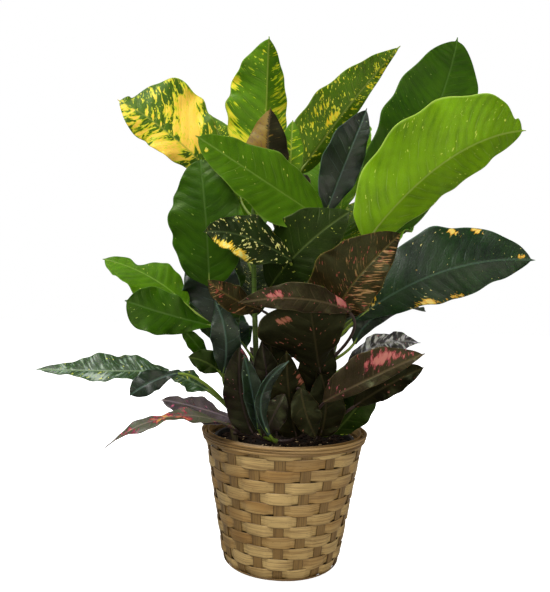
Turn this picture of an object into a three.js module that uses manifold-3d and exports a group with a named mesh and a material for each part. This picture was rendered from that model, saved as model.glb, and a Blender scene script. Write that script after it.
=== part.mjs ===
// A potted croton: waved, leathery leaves on six leafy stems, rooted in a plastic nursery pot
// that stands inside a woven bamboo basket. Millimetres, +Z up, origin at the middle of the
// basket's underside, front of the plant towards -Y.

import * as THREE from 'three';
import { mergeVertices } from 'three/addons/utils/BufferGeometryUtils.js';
import Module from 'manifold-3d';

// ---------------------------------------------------------------- driving dimensions

const GAP = 0.3;                    // between pieces that touch

const BASKET_HEIGHT = 142;
const FOOT_RADIUS = 64.3;           // outside of the weave at the floor
const FLARE = 0.1749;               // radius gained per mm of height
const CORNER = 10;                  // height of the rounded bottom corner
const CORNER_INSET = 4.5;           // how far the corner pulls in at the floor

const STAKES = 20;                  // upright bamboo splits
const STAKE_TURN = -3.5;            // degrees that the stakes stand off the +X axis
const STAKE_WIDTH = 11.4;           // at the rim
const STAKE_FOOT_WIDTH = 9.8;
const STAKE_THICKNESS = 1.2;

const ROWS = 12;                    // weave rows
const ROW_PITCH = 11.55;
const ROW_WIDTH = 10.9;
const FIRST_ROW = 7.5;              // middle height of the lowest row
const SPLIT_THICKNESS = 1.0;        // thickness of a weaving split

const HOOP_HEIGHT = 9;
const HOOP_THICKNESS = 1.3;
const OUTER_HOOP_DROP = 1;          // the outer hoop's edge lies this much lower

const MAT_RADIUS = 50;              // basket floor
const MAT_THICKNESS = 3;

const POT_TOP_RADIUS = 76;          // a 6-inch nursery pot
const POT_FOOT_RADIUS = 54;
const POT_HEIGHT = 130;
const POT_WALL = 1.4;
const POT_LIP = 2.2;                // how far the rolled rim stands out
const POT_LIP_HEIGHT = 8;
const POT_SIDES = 20;
const DRAIN_HOLES = 6;
const DRAIN_RADIUS = 5;
const DRAIN_CIRCLE = 39;            // from the middle of the pot to a drain hole

const SOIL_TOP = 128;
const SOIL_CROWN = 4;               // the soil is a little higher round the stems
const ROOTED_TO = 76;               // height of the lower ends of the stems

const STEM_RADIUS = 4;
const STEM_TOP_RADIUS = 2.6;
const STEM_STEPS = 5;
const STALK_FOOT_RADIUS = 1.95;     // where a stalk leaves the stem
const STALK_RADIUS = 1.5;           // where it meets the blade
const BLADE_THICKNESS = 0.9;
const LONG_BLADE = 150;             // a front blade this long has more steps along it
const WIDE_BLADE = 20;              // a half this wide has more columns across it

// ---------------------------------------------------------------- the leafy stems
// Each stem is an arc through three points: where it is rooted, its middle and its tip.

const STEMS = {
  left: [[-42, -14, ROOTED_TO], [-68, -14, 225], [-82, 0, 402]],
  middle: [[0, 2, ROOTED_TO], [-2, 6, 240], [-20, 12, 425]],
  right: [[32, -6, ROOTED_TO], [48, -8, 215], [86, 24, 348]],
  front: [[-10, -40, ROOTED_TO], [-10, -42, 115], [-8, -44, 158]],
  back_left: [[-24, 34, ROOTED_TO], [-38, 60, 250], [-46, 80, 410]],
  back_right: [[26, 36, ROOTED_TO], [40, 66, 240], [50, 86, 385]],
};

// One row for each leaf that faces the front: the stem it grows on, the base, middle and tip of
// its midrib, the way the blade faces, the half widths left and right, and the wave of the margin
// [height, number, start]. folds is how far each half folds up (degrees), and shape is where the
// blade is widest and how full it is. A leaf without them has those of PLAIN_BLADE.

const PLAIN_BLADE = { folds: [0, 0], shape: [1, 0.75] };

const LEAVES = [
  { on: 'left', base: [-75, 5, 410], middle: [-138, -5, 466], tip: [-200, 0, 505],
    face: [0, -1, 0.4], halves: [26, 60], wave: [5, 2.5, 0.1], folds: [-20, 5], shape: [1.45, 0.72] },
  { on: 'middle', base: [-32, 20, 430], middle: [-32, 25, 520], tip: [-31, 10, 587],
    face: [0, -1, 0.1], halves: [46, 34], wave: [4, 3, 0], folds: [0, -45], shape: [0.82, 0.7] },
  { on: 'middle', base: [-22, -5, 400], middle: [-28, -15, 449], tip: [-26, -10, 498],
    face: [0, -1, 0.1], halves: [26, 24], wave: [3, 2, 0.2], folds: [-20, -20] },
  { on: 'middle', base: [-2, 10, 410], middle: [-2, 12, 454], tip: [-1, 15, 493],
    face: [0, -1, 0], halves: [14, 14], wave: [2, 2, 0] },
  { on: 'middle', base: [38, -6, 374], middle: [-33, -42, 411], tip: [-102, -60, 450],
    face: [0, -1, 0.5], halves: [38, 40], wave: [3, 2, 0], shape: [0.72, 0.62] },
  { on: 'middle', base: [8, 40, 435], middle: [68, 40, 522], tip: [124, 30, 590],
    face: [0, -1, -0.2], halves: [40, 15], wave: [4, 2.5, 0.3], folds: [0, -20], shape: [0.62, 0.8] },
  { on: 'middle', base: [39, 10, 383], middle: [61, 5, 446], tip: [83, 5, 506],
    face: [0.2, -1, 0], halves: [28, 19], wave: [4, 2, 0.2], folds: [10, 10] },
  { on: 'right', base: [90, 45, 350], middle: [172, 80, 506], tip: [209, 90, 631],
    face: [0, -1, -0.2], halves: [62, 54], wave: [4, 2.5, 0.2], shape: [0.95, 0.55] },
  { on: 'right', base: [82, -10, 350], middle: [165, -25, 440], tip: [254, -20, 478],
    face: [0, -1, -0.2], halves: [62, 40], wave: [5, 2.5, 0.2], folds: [0, -34], shape: [0.95, 0.48] },
  { on: 'right', base: [68, -30, 263], middle: [154, -55, 318], tip: [250, -60, 333],
    face: [0, -1, 0.4], halves: [48, 30], wave: [4, 2.5, 0], folds: [0, -20], shape: [1.15, 0.7] },
  { on: 'middle', base: [2, -44, 325], middle: [-46, -62, 347], tip: [-89, -70, 350],
    face: [0, -1, 0.5], halves: [26, 26], wave: [4, 2, 0] },
  { on: 'middle', base: [-22, -18, 296], middle: [13, -46, 340], tip: [63, -46, 381],
    face: [0, -1, 0.3], halves: [38, 30], wave: [3, 2, 0] },
  { on: 'right', base: [48, -45, 263], middle: [62, -70, 302], tip: [114, -60, 359],
    face: [0, -1, 0.2], halves: [42, 26], wave: [4, 2.5, 0], folds: [10, 10] },
  { on: 'middle', base: [-28, -60, 274], middle: [-58, -75, 285], tip: [-82, -80, 302],
    face: [0, -1, 0.5], halves: [14, 14], wave: [2, 2, 0] },
  { on: 'right', base: [61, -78, 275], middle: [9, -98, 286], tip: [-50, -106, 280],
    face: [0, -1, 0.1], halves: [12, 15], wave: [4, 2, 0] },
  { on: 'left', base: [-86, -25, 296], middle: [-90, -45, 370], tip: [-99, -40, 433],
    face: [-0.2, -1, 0.1], halves: [40, 37], wave: [4, 2.5, 0], shape: [0.82, 0.55] },
  { on: 'left', base: [-84, 6, 252], middle: [-88, 10, 304], tip: [-122, 10, 336],
    face: [0, -1, 0.3], halves: [34, 30], wave: [4, 2, 0] },
  { on: 'left', base: [-110, -10, 274], middle: [-158, 2, 307], tip: [-216, 20, 326],
    face: [0, -0.6, 1], halves: [32, 31], wave: [4, 2, 0] },
  { on: 'left', base: [-78, -20, 254], middle: [-124, -45, 265], tip: [-168, -60, 279],
    face: [0, -1, 0.4], halves: [25, 26], wave: [4, 2, 0], shape: [1.9, 0.6] },
  { on: 'left', base: [-125, -30, 206], middle: [-184, -45, 205], tip: [-264, -40, 204],
    face: [0, -0.8, 1], halves: [13, 25], wave: [3, 3, 0], shape: [1, 0.9] },
  { on: 'left', base: [-84, -24, 185], middle: [-105, -30, 196], tip: [-126, -34, 204],
    face: [0, -0.8, 1], halves: [12, 13], wave: [3, 2, 0] },
  { on: 'left', base: [-88, -20, 220], middle: [-99, -30, 236], tip: [-113, -40, 252],
    face: [0, -1, 0.3], halves: [8, 8], wave: [2, 2, 0] },
  { on: 'left', base: [-49, -45, 157], middle: [-88, -64, 173], tip: [-126, -70, 181],
    face: [0, -0.5, 1], halves: [20, 17], wave: [3, 2, 0] },
  { on: 'left', base: [-51, -65, 154], middle: [-111, -97, 170], tip: [-172, -110, 139],
    face: [0, -0.3, 1], halves: [11, 11], wave: [3, 2.5, 0], shape: [1, 0.9] },
  { on: 'right', base: [67, -16, 217], middle: [100, -34, 241], tip: [140, -40, 244],
    face: [0, -1, 0.5], halves: [12, 12], wave: [5, 3, 0] },
  { on: 'right', base: [36, -66, 183], middle: [80, -95, 213], tip: [129, -100, 238],
    face: [0, -1, 0.3], halves: [25, 8], wave: [3, 2, 0] },
  { on: 'right', base: [69, -56, 178], middle: [101, -78, 205], tip: [133, -84, 223],
    face: [0, -1, 0.3], halves: [16, 11], wave: [5, 2.5, 0] },
  { on: 'front', base: [-33, -58, 147], middle: [-47, -64, 190], tip: [-48, -66, 238],
    face: [0, -1, 0.1], halves: [17, 19], wave: [3, 2, 0], shape: [0.8, 0.6] },
  { on: 'front', base: [-8, -46, 143], middle: [-17, -52, 186], tip: [-27, -54, 241],
    face: [0, -1, 0.1], halves: [20, 20], wave: [3, 2, 0], shape: [0.8, 0.6] },
  { on: 'front', base: [12, -56, 145], middle: [3, -68, 183], tip: [-2, -78, 235],
    face: [0, -1, 0.1], halves: [20, 19], wave: [3, 2, 0], shape: [0.8, 0.6] },
  { on: 'right', base: [27, -25, 150], middle: [31, -42, 208], tip: [33, -46, 262],
    face: [0, -1, 0.1], halves: [20, 20], wave: [3, 2, 0], shape: [1, 0.6] },
  { on: 'front', base: [-8, -30, 160], middle: [-14, -33, 205], tip: [-20, -38, 256],
    face: [0, -1, 0.1], halves: [20, 20], wave: [3, 2, 0], shape: [1, 0.7] },
  { on: 'right', base: [52, -30, 144], middle: [74, -40, 174], tip: [88, -44, 202],
    face: [0, -1, 0.1], halves: [17, 17], wave: [3, 2, 0], shape: [1, 0.5] },
  { on: 'right', base: [35, -46, 209], middle: [26, -70, 247], tip: [19, -76, 287],
    face: [0, -1, 0.1], halves: [56, 34], wave: [4, 1.5, 0.2], shape: [2.3, 0.55] },
  { on: 'right', base: [73, -18, 239], middle: [98, -26, 273], tip: [153, -20, 293],
    face: [0, -1, 0.2], halves: [14, 9], wave: [2, 2, 0] },
  { on: 'left', base: [-67, -44, 206], middle: [-64, -56, 244], tip: [-76, -52, 280],
    face: [0, -1, 0], halves: [15, 15], wave: [3, 2, 0] },
  { on: 'left', base: [-111, -60, 207], middle: [-135, -68, 199], tip: [-157, -70, 184],
    face: [0, -1, 0.3], halves: [11, 13], wave: [3, 2, 0], shape: [1.6, 0.7] },
  { on: 'left', base: [-72, -34, 207], middle: [-86, -40, 217], tip: [-104, -44, 222],
    face: [0, -1, 0.3], halves: [11, 13], wave: [2, 2, 0] },
  { on: 'front', base: [-28, -68, 154], middle: [-35, -74, 192], tip: [-44, -76, 229],
    face: [0.3, -1, 0], halves: [10, 11], wave: [2, 2, 0], folds: [25, 25] },
  { on: 'front', base: [-16, -80, 151], middle: [-25, -86, 191], tip: [1, -88, 226],
    face: [0.4, -1, 0.2], halves: [6, 8], wave: [2, 2, 0], folds: [20, 0] },
  { on: 'right', base: [36, -46, 144], middle: [41, -52, 179], tip: [34, -50, 211],
    face: [0, -1, 0.1], halves: [20, 19], wave: [3, 2, 0], shape: [0.8, 0.6] },
  { on: 'front', base: [-3, -74, 191], middle: [-13, -80, 170], tip: [-23, -76, 148],
    face: [0, -1, 0.3], halves: [12, 12], wave: [3, 2, 0] },
  { on: 'front', base: [13, -76, 198], middle: [19, -83, 174], tip: [30, -79, 150],
    face: [0, -1, 0.3], halves: [14, 14], wave: [3, 2, 0] },
];

// The far side of each stem carries leaves by rule: how many, the heights of the lowest and the
// highest, the direction they face (degrees, 0 = right, 90 = back), how far they spread to each
// side of it, the rise of the lowest and highest blade (degrees), and the length of a blade.

const FAR_SIDE = [
  { on: 'back_left', count: 7, heights: [165, 385], facing: 116, spread: 34, rises: [8, 62], length: 165 },
  { on: 'back_right', count: 7, heights: [175, 372], facing: 64, spread: -34, rises: [8, 64], length: 165 },
  { on: 'left', count: 2, heights: [205, 330], facing: 114, spread: 8, rises: [20, 50], length: 140 },
  { on: 'right', count: 2, heights: [245, 310], facing: 40, spread: 8, rises: [8, 28], length: 122 },
  { on: 'middle', count: 2, heights: [330, 395], facing: 97, spread: 18, rises: [50, 62], length: 128 },
];
const FAR_SEED = 25;
const FAR_STALK = 34;               // length of a leaf stalk
const FAR_STALK_RISE = 42;          // degrees
const FAR_WIDTH = 0.40;             // of the length
const FAR_ARCH = 0.07;              // height of the arch, of the length
const FAR_WAVE = 4;                 // height of the waved margin
const FAR_FOLD = 12;                // degrees that each half folds up
const FAR_SHAPE = [1, 0.72];

// ---------------------------------------------------------------- small helpers

const vec = (p) => new THREE.Vector3(p[0], p[1], p[2]);
const mix = THREE.MathUtils.lerp;
const rad = THREE.MathUtils.degToRad;

/** The point at a distance from the Z axis, an angle round it and a height. */
function aroundAxis(radius, angle, z) {
  return new THREE.Vector3(radius * Math.cos(angle), radius * Math.sin(angle), z);
}

/** A random number from 0 to 1, the same ones in the same order every time. */
function makeRandom(seed) {
  let state = seed;
  return () => {
    state = (state * 16807) % 2147483647;
    return state / 2147483647;
  };
}

/** The arc that passes a at s = 0, m at s = 0.5 and b at s = 1. */
function arc([a, m, b]) {
  const knee = vec(m).multiplyScalar(2).addScaledVector(vec(a), -0.5).addScaledVector(vec(b), -0.5);
  return new THREE.QuadraticBezierCurve3(vec(a), knee, vec(b));
}

/** Where on a rising arc the given height is reached. */
function atHeight(line, height) {
  let low = 0;
  let high = 1;
  for (let i = 0; i < 24; i += 1) {
    const s = (low + high) / 2;
    if (line.getPoint(s).z < height) {
      low = s;
    } else {
      high = s;
    }
  }
  return low;
}

/** A BufferGeometry with its faces out, from points and triangles. */
function solidGeometry(points, triangles) {
  let volume = 0;
  for (const [i, j, k] of triangles) {
    volume += points[i].dot(points[j].clone().cross(points[k]));
  }
  const index = triangles.flatMap(([i, j, k]) => (volume > 0 ? [i, j, k] : [i, k, j]));
  const geometry = new THREE.BufferGeometry();
  const flat = points.flatMap((p) => p.toArray());
  geometry.setAttribute('position', new THREE.Float32BufferAttribute(flat, 3));
  geometry.setIndex(index);
  return geometry;
}

/** A skin over equal loops of points: closed on itself as a ring, or with flat ends. */
function skin(loops, ring) {
  const sides = loops[0].length;
  const triangles = [];
  const last = ring ? loops.length : loops.length - 1;
  for (let i = 0; i < last; i += 1) {
    const next = (i + 1) % loops.length;
    for (let j = 0; j < sides; j += 1) {
      const k = (j + 1) % sides;
      const corner = [i * sides + j, i * sides + k, next * sides + k, next * sides + j];
      triangles.push([corner[0], corner[1], corner[2]], [corner[0], corner[2], corner[3]]);
    }
  }
  if (!ring) {
    const end = (loops.length - 1) * sides;
    for (let j = 1; j < sides - 1; j += 1) {
      triangles.push([0, j + 1, j], [end, end + j, end + j + 1]);
    }
  }
  return solidGeometry(loops.flat(), triangles);
}

/** The same points and triangles without the points that no triangle uses. */
function compact(points, triangles) {
  const used = [...new Set(triangles.flat())];
  const number = new Map(used.map((n, k) => [n, k]));
  const renumbered = triangles.map((corners) => corners.map((n) => number.get(n)));
  return solidGeometry(used.map((n) => points[n]), renumbered);
}

/** A turned solid whose profile, as [radius, height], starts and ends on the axis. */
function lathe(profile, steps) {
  const line = profile.map(([radius, z]) => new THREE.Vector2(radius, z));
  const turned = new THREE.LatheGeometry(line, steps);
  turned.deleteAttribute('normal');
  turned.deleteAttribute('uv');
  const shared = mergeVertices(turned.rotateX(Math.PI / 2));
  const { position } = shared.attributes;
  const points = [];
  for (let n = 0; n < position.count; n += 1) {
    points.push(new THREE.Vector3().fromBufferAttribute(position, n));
  }
  const triangles = [];
  for (let n = 0; n < shared.index.count; n += 3) {
    const [a, b, c] = shared.index.array.slice(n, n + 3);
    if (a !== b && b !== c && c !== a) {
      triangles.push([a, b, c]);
    }
  }
  return compact(points, triangles);
}

// ---------------------------------------------------------------- joining and cutting

const wasm = await Module();
wasm.setup();

/** The manifold solid of a geometry whose vertices are shared. */
function toSolid(geometry) {
  const mesh = new wasm.Mesh({
    numProp: 3,
    vertProperties: new Float32Array(geometry.attributes.position.array),
    triVerts: new Uint32Array(geometry.index.array),
  });
  return new wasm.Manifold(mesh);
}

/** The geometry of a manifold solid. */
function toGeometry(solid) {
  const mesh = solid.getMesh();
  const geometry = new THREE.BufferGeometry();
  geometry.setAttribute('position', new THREE.BufferAttribute(mesh.vertProperties, 3));
  geometry.setIndex(new THREE.BufferAttribute(mesh.triVerts, 1));
  return geometry;
}

// ---------------------------------------------------------------- leaves, stalks and stems

/** Half width of a blade at s, as a part of its full half width. */
function outline(s, [widest, fullness]) {
  return Math.sin(Math.PI * s ** widest) ** fullness;
}

/** Surface point of a blade, s along the midrib and v from -1 (left margin) to 1 (right). */
function bladePoint(leaf, s, v) {
  const midrib = arc([leaf.base, leaf.middle, leaf.tip]);
  const forward = midrib.getTangent(s);
  const side = forward.clone().cross(vec(leaf.face).normalize()).normalize();
  const up = side.clone().cross(forward).normalize();
  const hand = v < 0 ? 0 : 1;
  const width = leaf.halves[hand] * outline(s, leaf.shape);
  const fold = rad(leaf.folds[hand]);
  const [height, count, start] = leaf.wave;
  const phase = 2 * Math.PI * (count * s + start + hand * 0.37);
  const fade = Math.sin(Math.PI * s) ** 0.6 * Math.abs(v) ** 1.5;
  const lift = width * Math.abs(v) * Math.sin(fold) + height * fade * Math.sin(phase);
  return midrib.getPoint(s)
    .addScaledVector(side, width * v * Math.cos(fold))
    .addScaledVector(up, lift);
}

/** A blade as a thin closed solid: two like-split faces and a rim, pointed at both ends. */
function blade(leaf) {
  const long = vec(leaf.base).distanceTo(vec(leaf.tip)) > LONG_BLADE && !leaf.farSide;
  const steps = long ? 8 : 6;
  const columns = Math.max(...leaf.halves) > WIDE_BLADE ? 4 : 2;
  const grid = [];
  for (let i = 0; i <= steps; i += 1) {
    const pointed = i === 0 || i === steps;
    const s = Math.min(Math.max(i / steps, 0.001), 0.999);
    for (let j = 0; j <= columns; j += 1) {
      grid.push(bladePoint(leaf, s, pointed ? 0 : (2 * j) / columns - 1));
    }
  }
  // an end row is one point, so all its columns share one number
  const at = (i, j) => i * (columns + 1) + (i === 0 || i === steps ? 0 : j);
  const faces = [];
  for (let i = 0; i < steps; i += 1) {
    for (let j = 0; j < columns; j += 1) {
      const corner = [at(i, j), at(i, j + 1), at(i + 1, j + 1), at(i + 1, j)];
      faces.push([corner[0], corner[1], corner[2]], [corner[0], corner[2], corner[3]]);
    }
  }
  const real = faces.filter(([a, b, c]) => a !== b && b !== c && c !== a);
  const normals = grid.map(() => new THREE.Vector3());
  for (const [a, b, c] of real) {
    const normal = grid[b].clone().sub(grid[a]).cross(grid[c].clone().sub(grid[a]));
    [a, b, c].forEach((n) => normals[n].add(normal));
  }
  const half = BLADE_THICKNESS / 2;
  const top = grid.map((p, n) => p.clone().addScaledVector(normals[n].normalize(), half));
  const bottom = grid.map((p, n) => p.clone().addScaledVector(normals[n], -half));
  const count = grid.length;
  const triangles = [...real, ...real.map(([a, b, c]) => [a + count, c + count, b + count])];
  for (let i = 0; i < steps; i += 1) {
    for (const j of [0, columns]) {
      const [a, b] = j === 0 ? [at(i + 1, j), at(i, j)] : [at(i, j), at(i + 1, j)];
      triangles.push([a, a + count, b + count], [a, b + count, b]);
    }
  }
  return compact([...top, ...bottom], triangles);
}

const BAR_FACE = new THREE.Vector3(0.31, 0.95, 0.05);  // no stem or stalk runs this way

/** A tapering round bar along a curve. */
function bar(line, steps, sides, startRadius, endRadius) {
  const loops = [];
  for (let i = 0; i <= steps; i += 1) {
    const s = i / steps;
    const centre = line.getPoint(s);
    const forward = line.getTangent(s);
    const across = forward.clone().cross(BAR_FACE).normalize();
    const other = forward.clone().cross(across);
    const radius = mix(startRadius, endRadius, s);
    const loop = [];
    for (let j = 0; j < sides; j += 1) {
      const turn = (2 * Math.PI * j) / sides;
      const point = centre.clone().addScaledVector(across, radius * Math.cos(turn));
      loop.push(point.addScaledVector(other, radius * Math.sin(turn)));
    }
    loops.push(loop);
  }
  return skin(loops, false);
}

/** The arc of the stalk that carries a blade, from inside the stem to inside the blade. */
function stalk(leaf) {
  const stem = arc(STEMS[leaf.on]);
  const base = vec(leaf.base);
  const reach = stem.getPoint(atHeight(stem, base.z)).sub(base).setZ(0).length();
  const lowest = SOIL_TOP + SOIL_CROWN + 6;
  const root = stem.getPoint(atHeight(stem, Math.max(base.z - 0.6 * reach - 6, lowest)));
  const midrib = arc([leaf.base, leaf.middle, leaf.tip]);
  const end = midrib.getPoint(0.05);
  const knee = base.addScaledVector(midrib.getTangent(0), -0.35 * reach);
  return new THREE.QuadraticBezierCurve3(root, knee, end);
}

/** The leaves of the far side, one row each, like the rows of LEAVES. */
function farLeaves() {
  const random = makeRandom(FAR_SEED);
  const rows = [];
  for (const { on, count, heights, facing, spread, rises, length } of FAR_SIDE) {
    const stem = arc(STEMS[on]);
    for (let k = 0; k < count; k += 1) {
      const part = k / (count - 1);
      const fan = 2 * ((k * 0.618) % 1) - 1;
      const turn = rad(facing + spread * fan + 8 * (random() - 0.5));
      const rise = rad(mix(rises[0], rises[1], part) + 10 * (random() - 0.5));
      const size = length * (0.86 + 0.28 * random());
      const out = (angle) => new THREE.Vector3(
        Math.cos(angle) * Math.cos(turn),
        Math.cos(angle) * Math.sin(turn),
        Math.sin(angle),
      );
      const root = stem.getPoint(atHeight(stem, mix(heights[0], heights[1], part)));
      const base = root.addScaledVector(out(rad(FAR_STALK_RISE)), FAR_STALK);
      const tip = base.clone().addScaledVector(out(rise), size);
      const face = out(rise + Math.PI / 2);
      const middle = base.clone().lerp(tip, 0.5).addScaledVector(face, FAR_ARCH * size);
      const half = (FAR_WIDTH * size) / 2;
      rows.push({
        on,
        base: base.toArray(),
        middle: middle.toArray(),
        tip: tip.toArray(),
        face: face.toArray(),
        halves: [half, half],
        folds: [FAR_FOLD, FAR_FOLD],
        wave: [FAR_WAVE, 2 + random(), random()],
        shape: FAR_SHAPE,
        farSide: true,
      });
    }
  }
  return rows;
}

/** One leafy stem: the stem with the stalks and blades that grow on it, joined as one body. */
function leafyStem(name, leaves) {
  let solid = toSolid(bar(arc(STEMS[name]), STEM_STEPS, 6, STEM_RADIUS, STEM_TOP_RADIUS));
  for (const leaf of leaves.filter((row) => row.on === name)) {
    solid = solid.add(toSolid(bar(stalk(leaf), 2, 3, STALK_FOOT_RADIUS, STALK_RADIUS)));
    solid = solid.add(toSolid(blade(leaf)));
  }
  // where blades only just touch, the join leaves loose specks beside the one large body
  const [largest] = solid.decompose().sort((a, b) => b.volume() - a.volume());
  return toGeometry(largest);
}

// ---------------------------------------------------------------- the basket

/** Outside radius of the weave at a height, with the rounded bottom corner. */
function weaveRadius(z) {
  const corner = Math.max(0, 1 - z / CORNER);
  return FOOT_RADIUS + FLARE * z - CORNER_INSET * corner * corner;
}

const WEAVE_OFFSET = STAKE_THICKNESS / 2 + GAP + SPLIT_THICKNESS / 2;

/** Radius of the middle of the stakes, to the flat of a stake. */
function stakeRadius(z) {
  return weaveRadius(z) - WEAVE_OFFSET - SPLIT_THICKNESS / 2;
}

/** One upright split, flat against its circle, following the wall. */
function stake() {
  const rowEdges = [FIRST_ROW - ROW_WIDTH / 2, FIRST_ROW + ROW_WIDTH / 2];
  const heights = [0.4, ...rowEdges, BASKET_HEIGHT - 3];
  const loops = heights.map((z) => {
    const inner = stakeRadius(z) - STAKE_THICKNESS / 2;
    const outer = stakeRadius(z) + STAKE_THICKNESS / 2;
    const half = mix(STAKE_FOOT_WIDTH, STAKE_WIDTH, z / BASKET_HEIGHT) / 2;
    return [[inner, -half], [outer, -half], [outer, half], [inner, half]]
      .map(([x, y]) => new THREE.Vector3(x, y, z));
  });
  return skin(loops, false);
}

/** One weave row: a closed band that passes outside one stake and inside the next. */
function weaveRow(row) {
  const middle = FIRST_ROW + row * ROW_PITCH;
  const heights = [middle - ROW_WIDTH / 2, middle + ROW_WIDTH / 2];
  const pitch = (2 * Math.PI) / STAKES;
  const loops = [];
  for (let i = 0; i < STAKES; i += 1) {
    const side = (i + row) % 2 === 0 ? 1 : -1;
    const half = SPLIT_THICKNESS / 2;
    for (const corner of [-0.25, 0.25]) {
      const angle = (i + corner) * pitch + rad(STAKE_TURN);
      loops.push([[0, -half], [0, half], [1, half], [1, -half]].map(([level, depth]) => {
        const z = heights[level];
        const flat = stakeRadius(z) + side * WEAVE_OFFSET + depth;
        return aroundAxis(flat / Math.cos(pitch / 4), angle, z);
      }));
    }
  }
  return skin(loops, true);
}

/** A rim hoop between two heights, its inside at the given distance from the stakes' middle. */
function hoop(bottom, top, offset) {
  const heights = [bottom, top];
  const loops = [];
  const steps = 2 * STAKES;
  const half = Math.PI / steps;
  for (let i = 0; i < steps; i += 1) {
    const angle = half * (2 * i + 1) + rad(STAKE_TURN);
    loops.push([[0, 0], [0, HOOP_THICKNESS], [1, HOOP_THICKNESS], [1, 0]].map(([level, depth]) => {
      const z = heights[level];
      return aroundAxis((stakeRadius(z) + offset + depth) / Math.cos(half), angle, z);
    }));
  }
  return skin(loops, true);
}

/** The round floor of the basket. */
function floorMat() {
  const profile = [
    [0, 0],
    [MAT_RADIUS - 1, 0],
    [MAT_RADIUS, 1],
    [MAT_RADIUS, MAT_THICKNESS],
    [0, MAT_THICKNESS],
  ];
  return lathe(profile, 40);
}

// ---------------------------------------------------------------- the nursery pot and its soil

const POT_FLOOR = MAT_THICKNESS + GAP;                 // underside of the pot
const POT_RIM = POT_FLOOR + POT_HEIGHT;
const SOIL_FLOOR = POT_FLOOR + POT_WALL + GAP;

/** Outside radius of the pot's wall at a height. */
function potRadius(z) {
  return mix(POT_FOOT_RADIUS, POT_TOP_RADIUS, (z - POT_FLOOR) / POT_HEIGHT);
}

/** The thin plastic pot, open at the top, with drain holes in its floor. */
function nurseryPot() {
  const lipStart = POT_RIM - POT_LIP_HEIGHT;
  const inside = SOIL_FLOOR - GAP;
  const profile = [
    [0, POT_FLOOR],
    [POT_FOOT_RADIUS, POT_FLOOR],
    [potRadius(lipStart), lipStart],
    [potRadius(lipStart) + POT_LIP, lipStart],
    [POT_TOP_RADIUS + POT_LIP, POT_RIM],
    [POT_TOP_RADIUS - POT_WALL, POT_RIM],
    [potRadius(inside) - POT_WALL, inside],
    [0, inside],
  ];
  let solid = toSolid(lathe(profile, POT_SIDES));
  for (let k = 0; k < DRAIN_HOLES; k += 1) {
    const angle = (2 * Math.PI * (k + 0.5)) / DRAIN_HOLES;
    const hole = lathe([[0, 0], [DRAIN_RADIUS, 0], [DRAIN_RADIUS, 2 * inside], [0, 2 * inside]], 6);
    const { x, y } = aroundAxis(DRAIN_CIRCLE, angle, 0);
    solid = solid.subtract(toSolid(hole.translate(x, y, 0)));
  }
  return toGeometry(solid);
}

/** The potting soil, with a plain hole for each stem. */
function soil() {
  const inset = POT_WALL + GAP;
  const profile = [
    [0, SOIL_FLOOR],
    [potRadius(SOIL_FLOOR) - inset, SOIL_FLOOR],
    [potRadius(SOIL_TOP) - inset, SOIL_TOP],
    [40, SOIL_TOP + SOIL_CROWN * 0.7],
    [0, SOIL_TOP + SOIL_CROWN],
  ];
  let solid = toSolid(lathe(profile, POT_SIDES));
  const holeRadius = STEM_RADIUS + 1;
  for (const stem of Object.values(STEMS).map(arc)) {
    const top = atHeight(stem, SOIL_TOP + 3 * SOIL_CROWN);
    const hole = [0, top / 2, top].map((s) => stem.getPoint(s).toArray());
    hole[0] = stem.getPoint(0).addScaledVector(stem.getTangent(0), -GAP).toArray();
    solid = solid.subtract(toSolid(bar(arc(hole), 2, 6, holeRadius, holeRadius)));
  }
  return toGeometry(solid);
}

// ---------------------------------------------------------------- assembly

const group = new THREE.Group();

function addPiece(name, geometry, colour, roughness, turn = 0) {
  const material = new THREE.MeshStandardMaterial({ color: colour, roughness, metalness: 0 });
  const mesh = new THREE.Mesh(geometry, material);
  mesh.name = name;
  mesh.rotation.z = turn;
  group.add(mesh);
}

addPiece('basket_floor', floorMat(), 0x9a7a49, 0.8);
for (let i = 0; i < STAKES; i += 1) {
  addPiece(`stake_${i + 1}`, stake(), 0x8d6f42, 0.7, (2 * Math.PI * i) / STAKES + rad(STAKE_TURN));
}
for (let row = 0; row < ROWS; row += 1) {
  addPiece(`weave_row_${row + 1}`, weaveRow(row), 0xb59a6b, 0.65);
}
const outside = WEAVE_OFFSET + SPLIT_THICKNESS / 2 + GAP;
const hoops = [
  ['outer', outside + HOOP_THICKNESS + GAP, OUTER_HOOP_DROP, 0xb9a071],
  ['middle', outside, 0, 0xa88c5c],
  ['inner', -outside - HOOP_THICKNESS, 0, 0xb09564],
];
for (const [name, offset, drop, colour] of hoops) {
  const geometry = hoop(BASKET_HEIGHT - HOOP_HEIGHT, BASKET_HEIGHT - drop, offset);
  addPiece(`rim_hoop_${name}`, geometry, colour, 0.6);
}

addPiece('nursery_pot', nurseryPot(), 0x1d1b1a, 0.45);
addPiece('potting_soil', soil(), 0x33251a, 0.95);

const frontLeaves = LEAVES.map((leaf) => ({ ...PLAIN_BLADE, ...leaf }));
const leaves = [...frontLeaves, ...farLeaves()];
const stemColours = {
  left: 0x35601a,
  middle: 0x4c7418,
  right: 0x4f7d16,
  front: 0x2c2126,
  back_left: 0x2f5618,
  back_right: 0x2f5618,
};
for (const [name, colour] of Object.entries(stemColours)) {
  addPiece(`leafy_stem_${name}`, leafyStem(name, leaves), colour, 0.4);
}

export default group;
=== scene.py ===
# %% [markdown]
# # A potted croton in a bamboo basket
# The model that this script starts from holds every part of the plant and its basket as a plain
# solid: the right size, in the right place, with few faces. Here each solid is replaced by a
# finer piece that keeps its form: leaves with veins, ribs and waved margins, round stems, bent
# bamboo splits, crumbly soil. Then each piece gets a material worked out from what the real one
# is. Lengths are in millimetres in the formulas and become metres when a mesh is made.

import bpy
import numpy as np
from mathutils import Matrix


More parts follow.
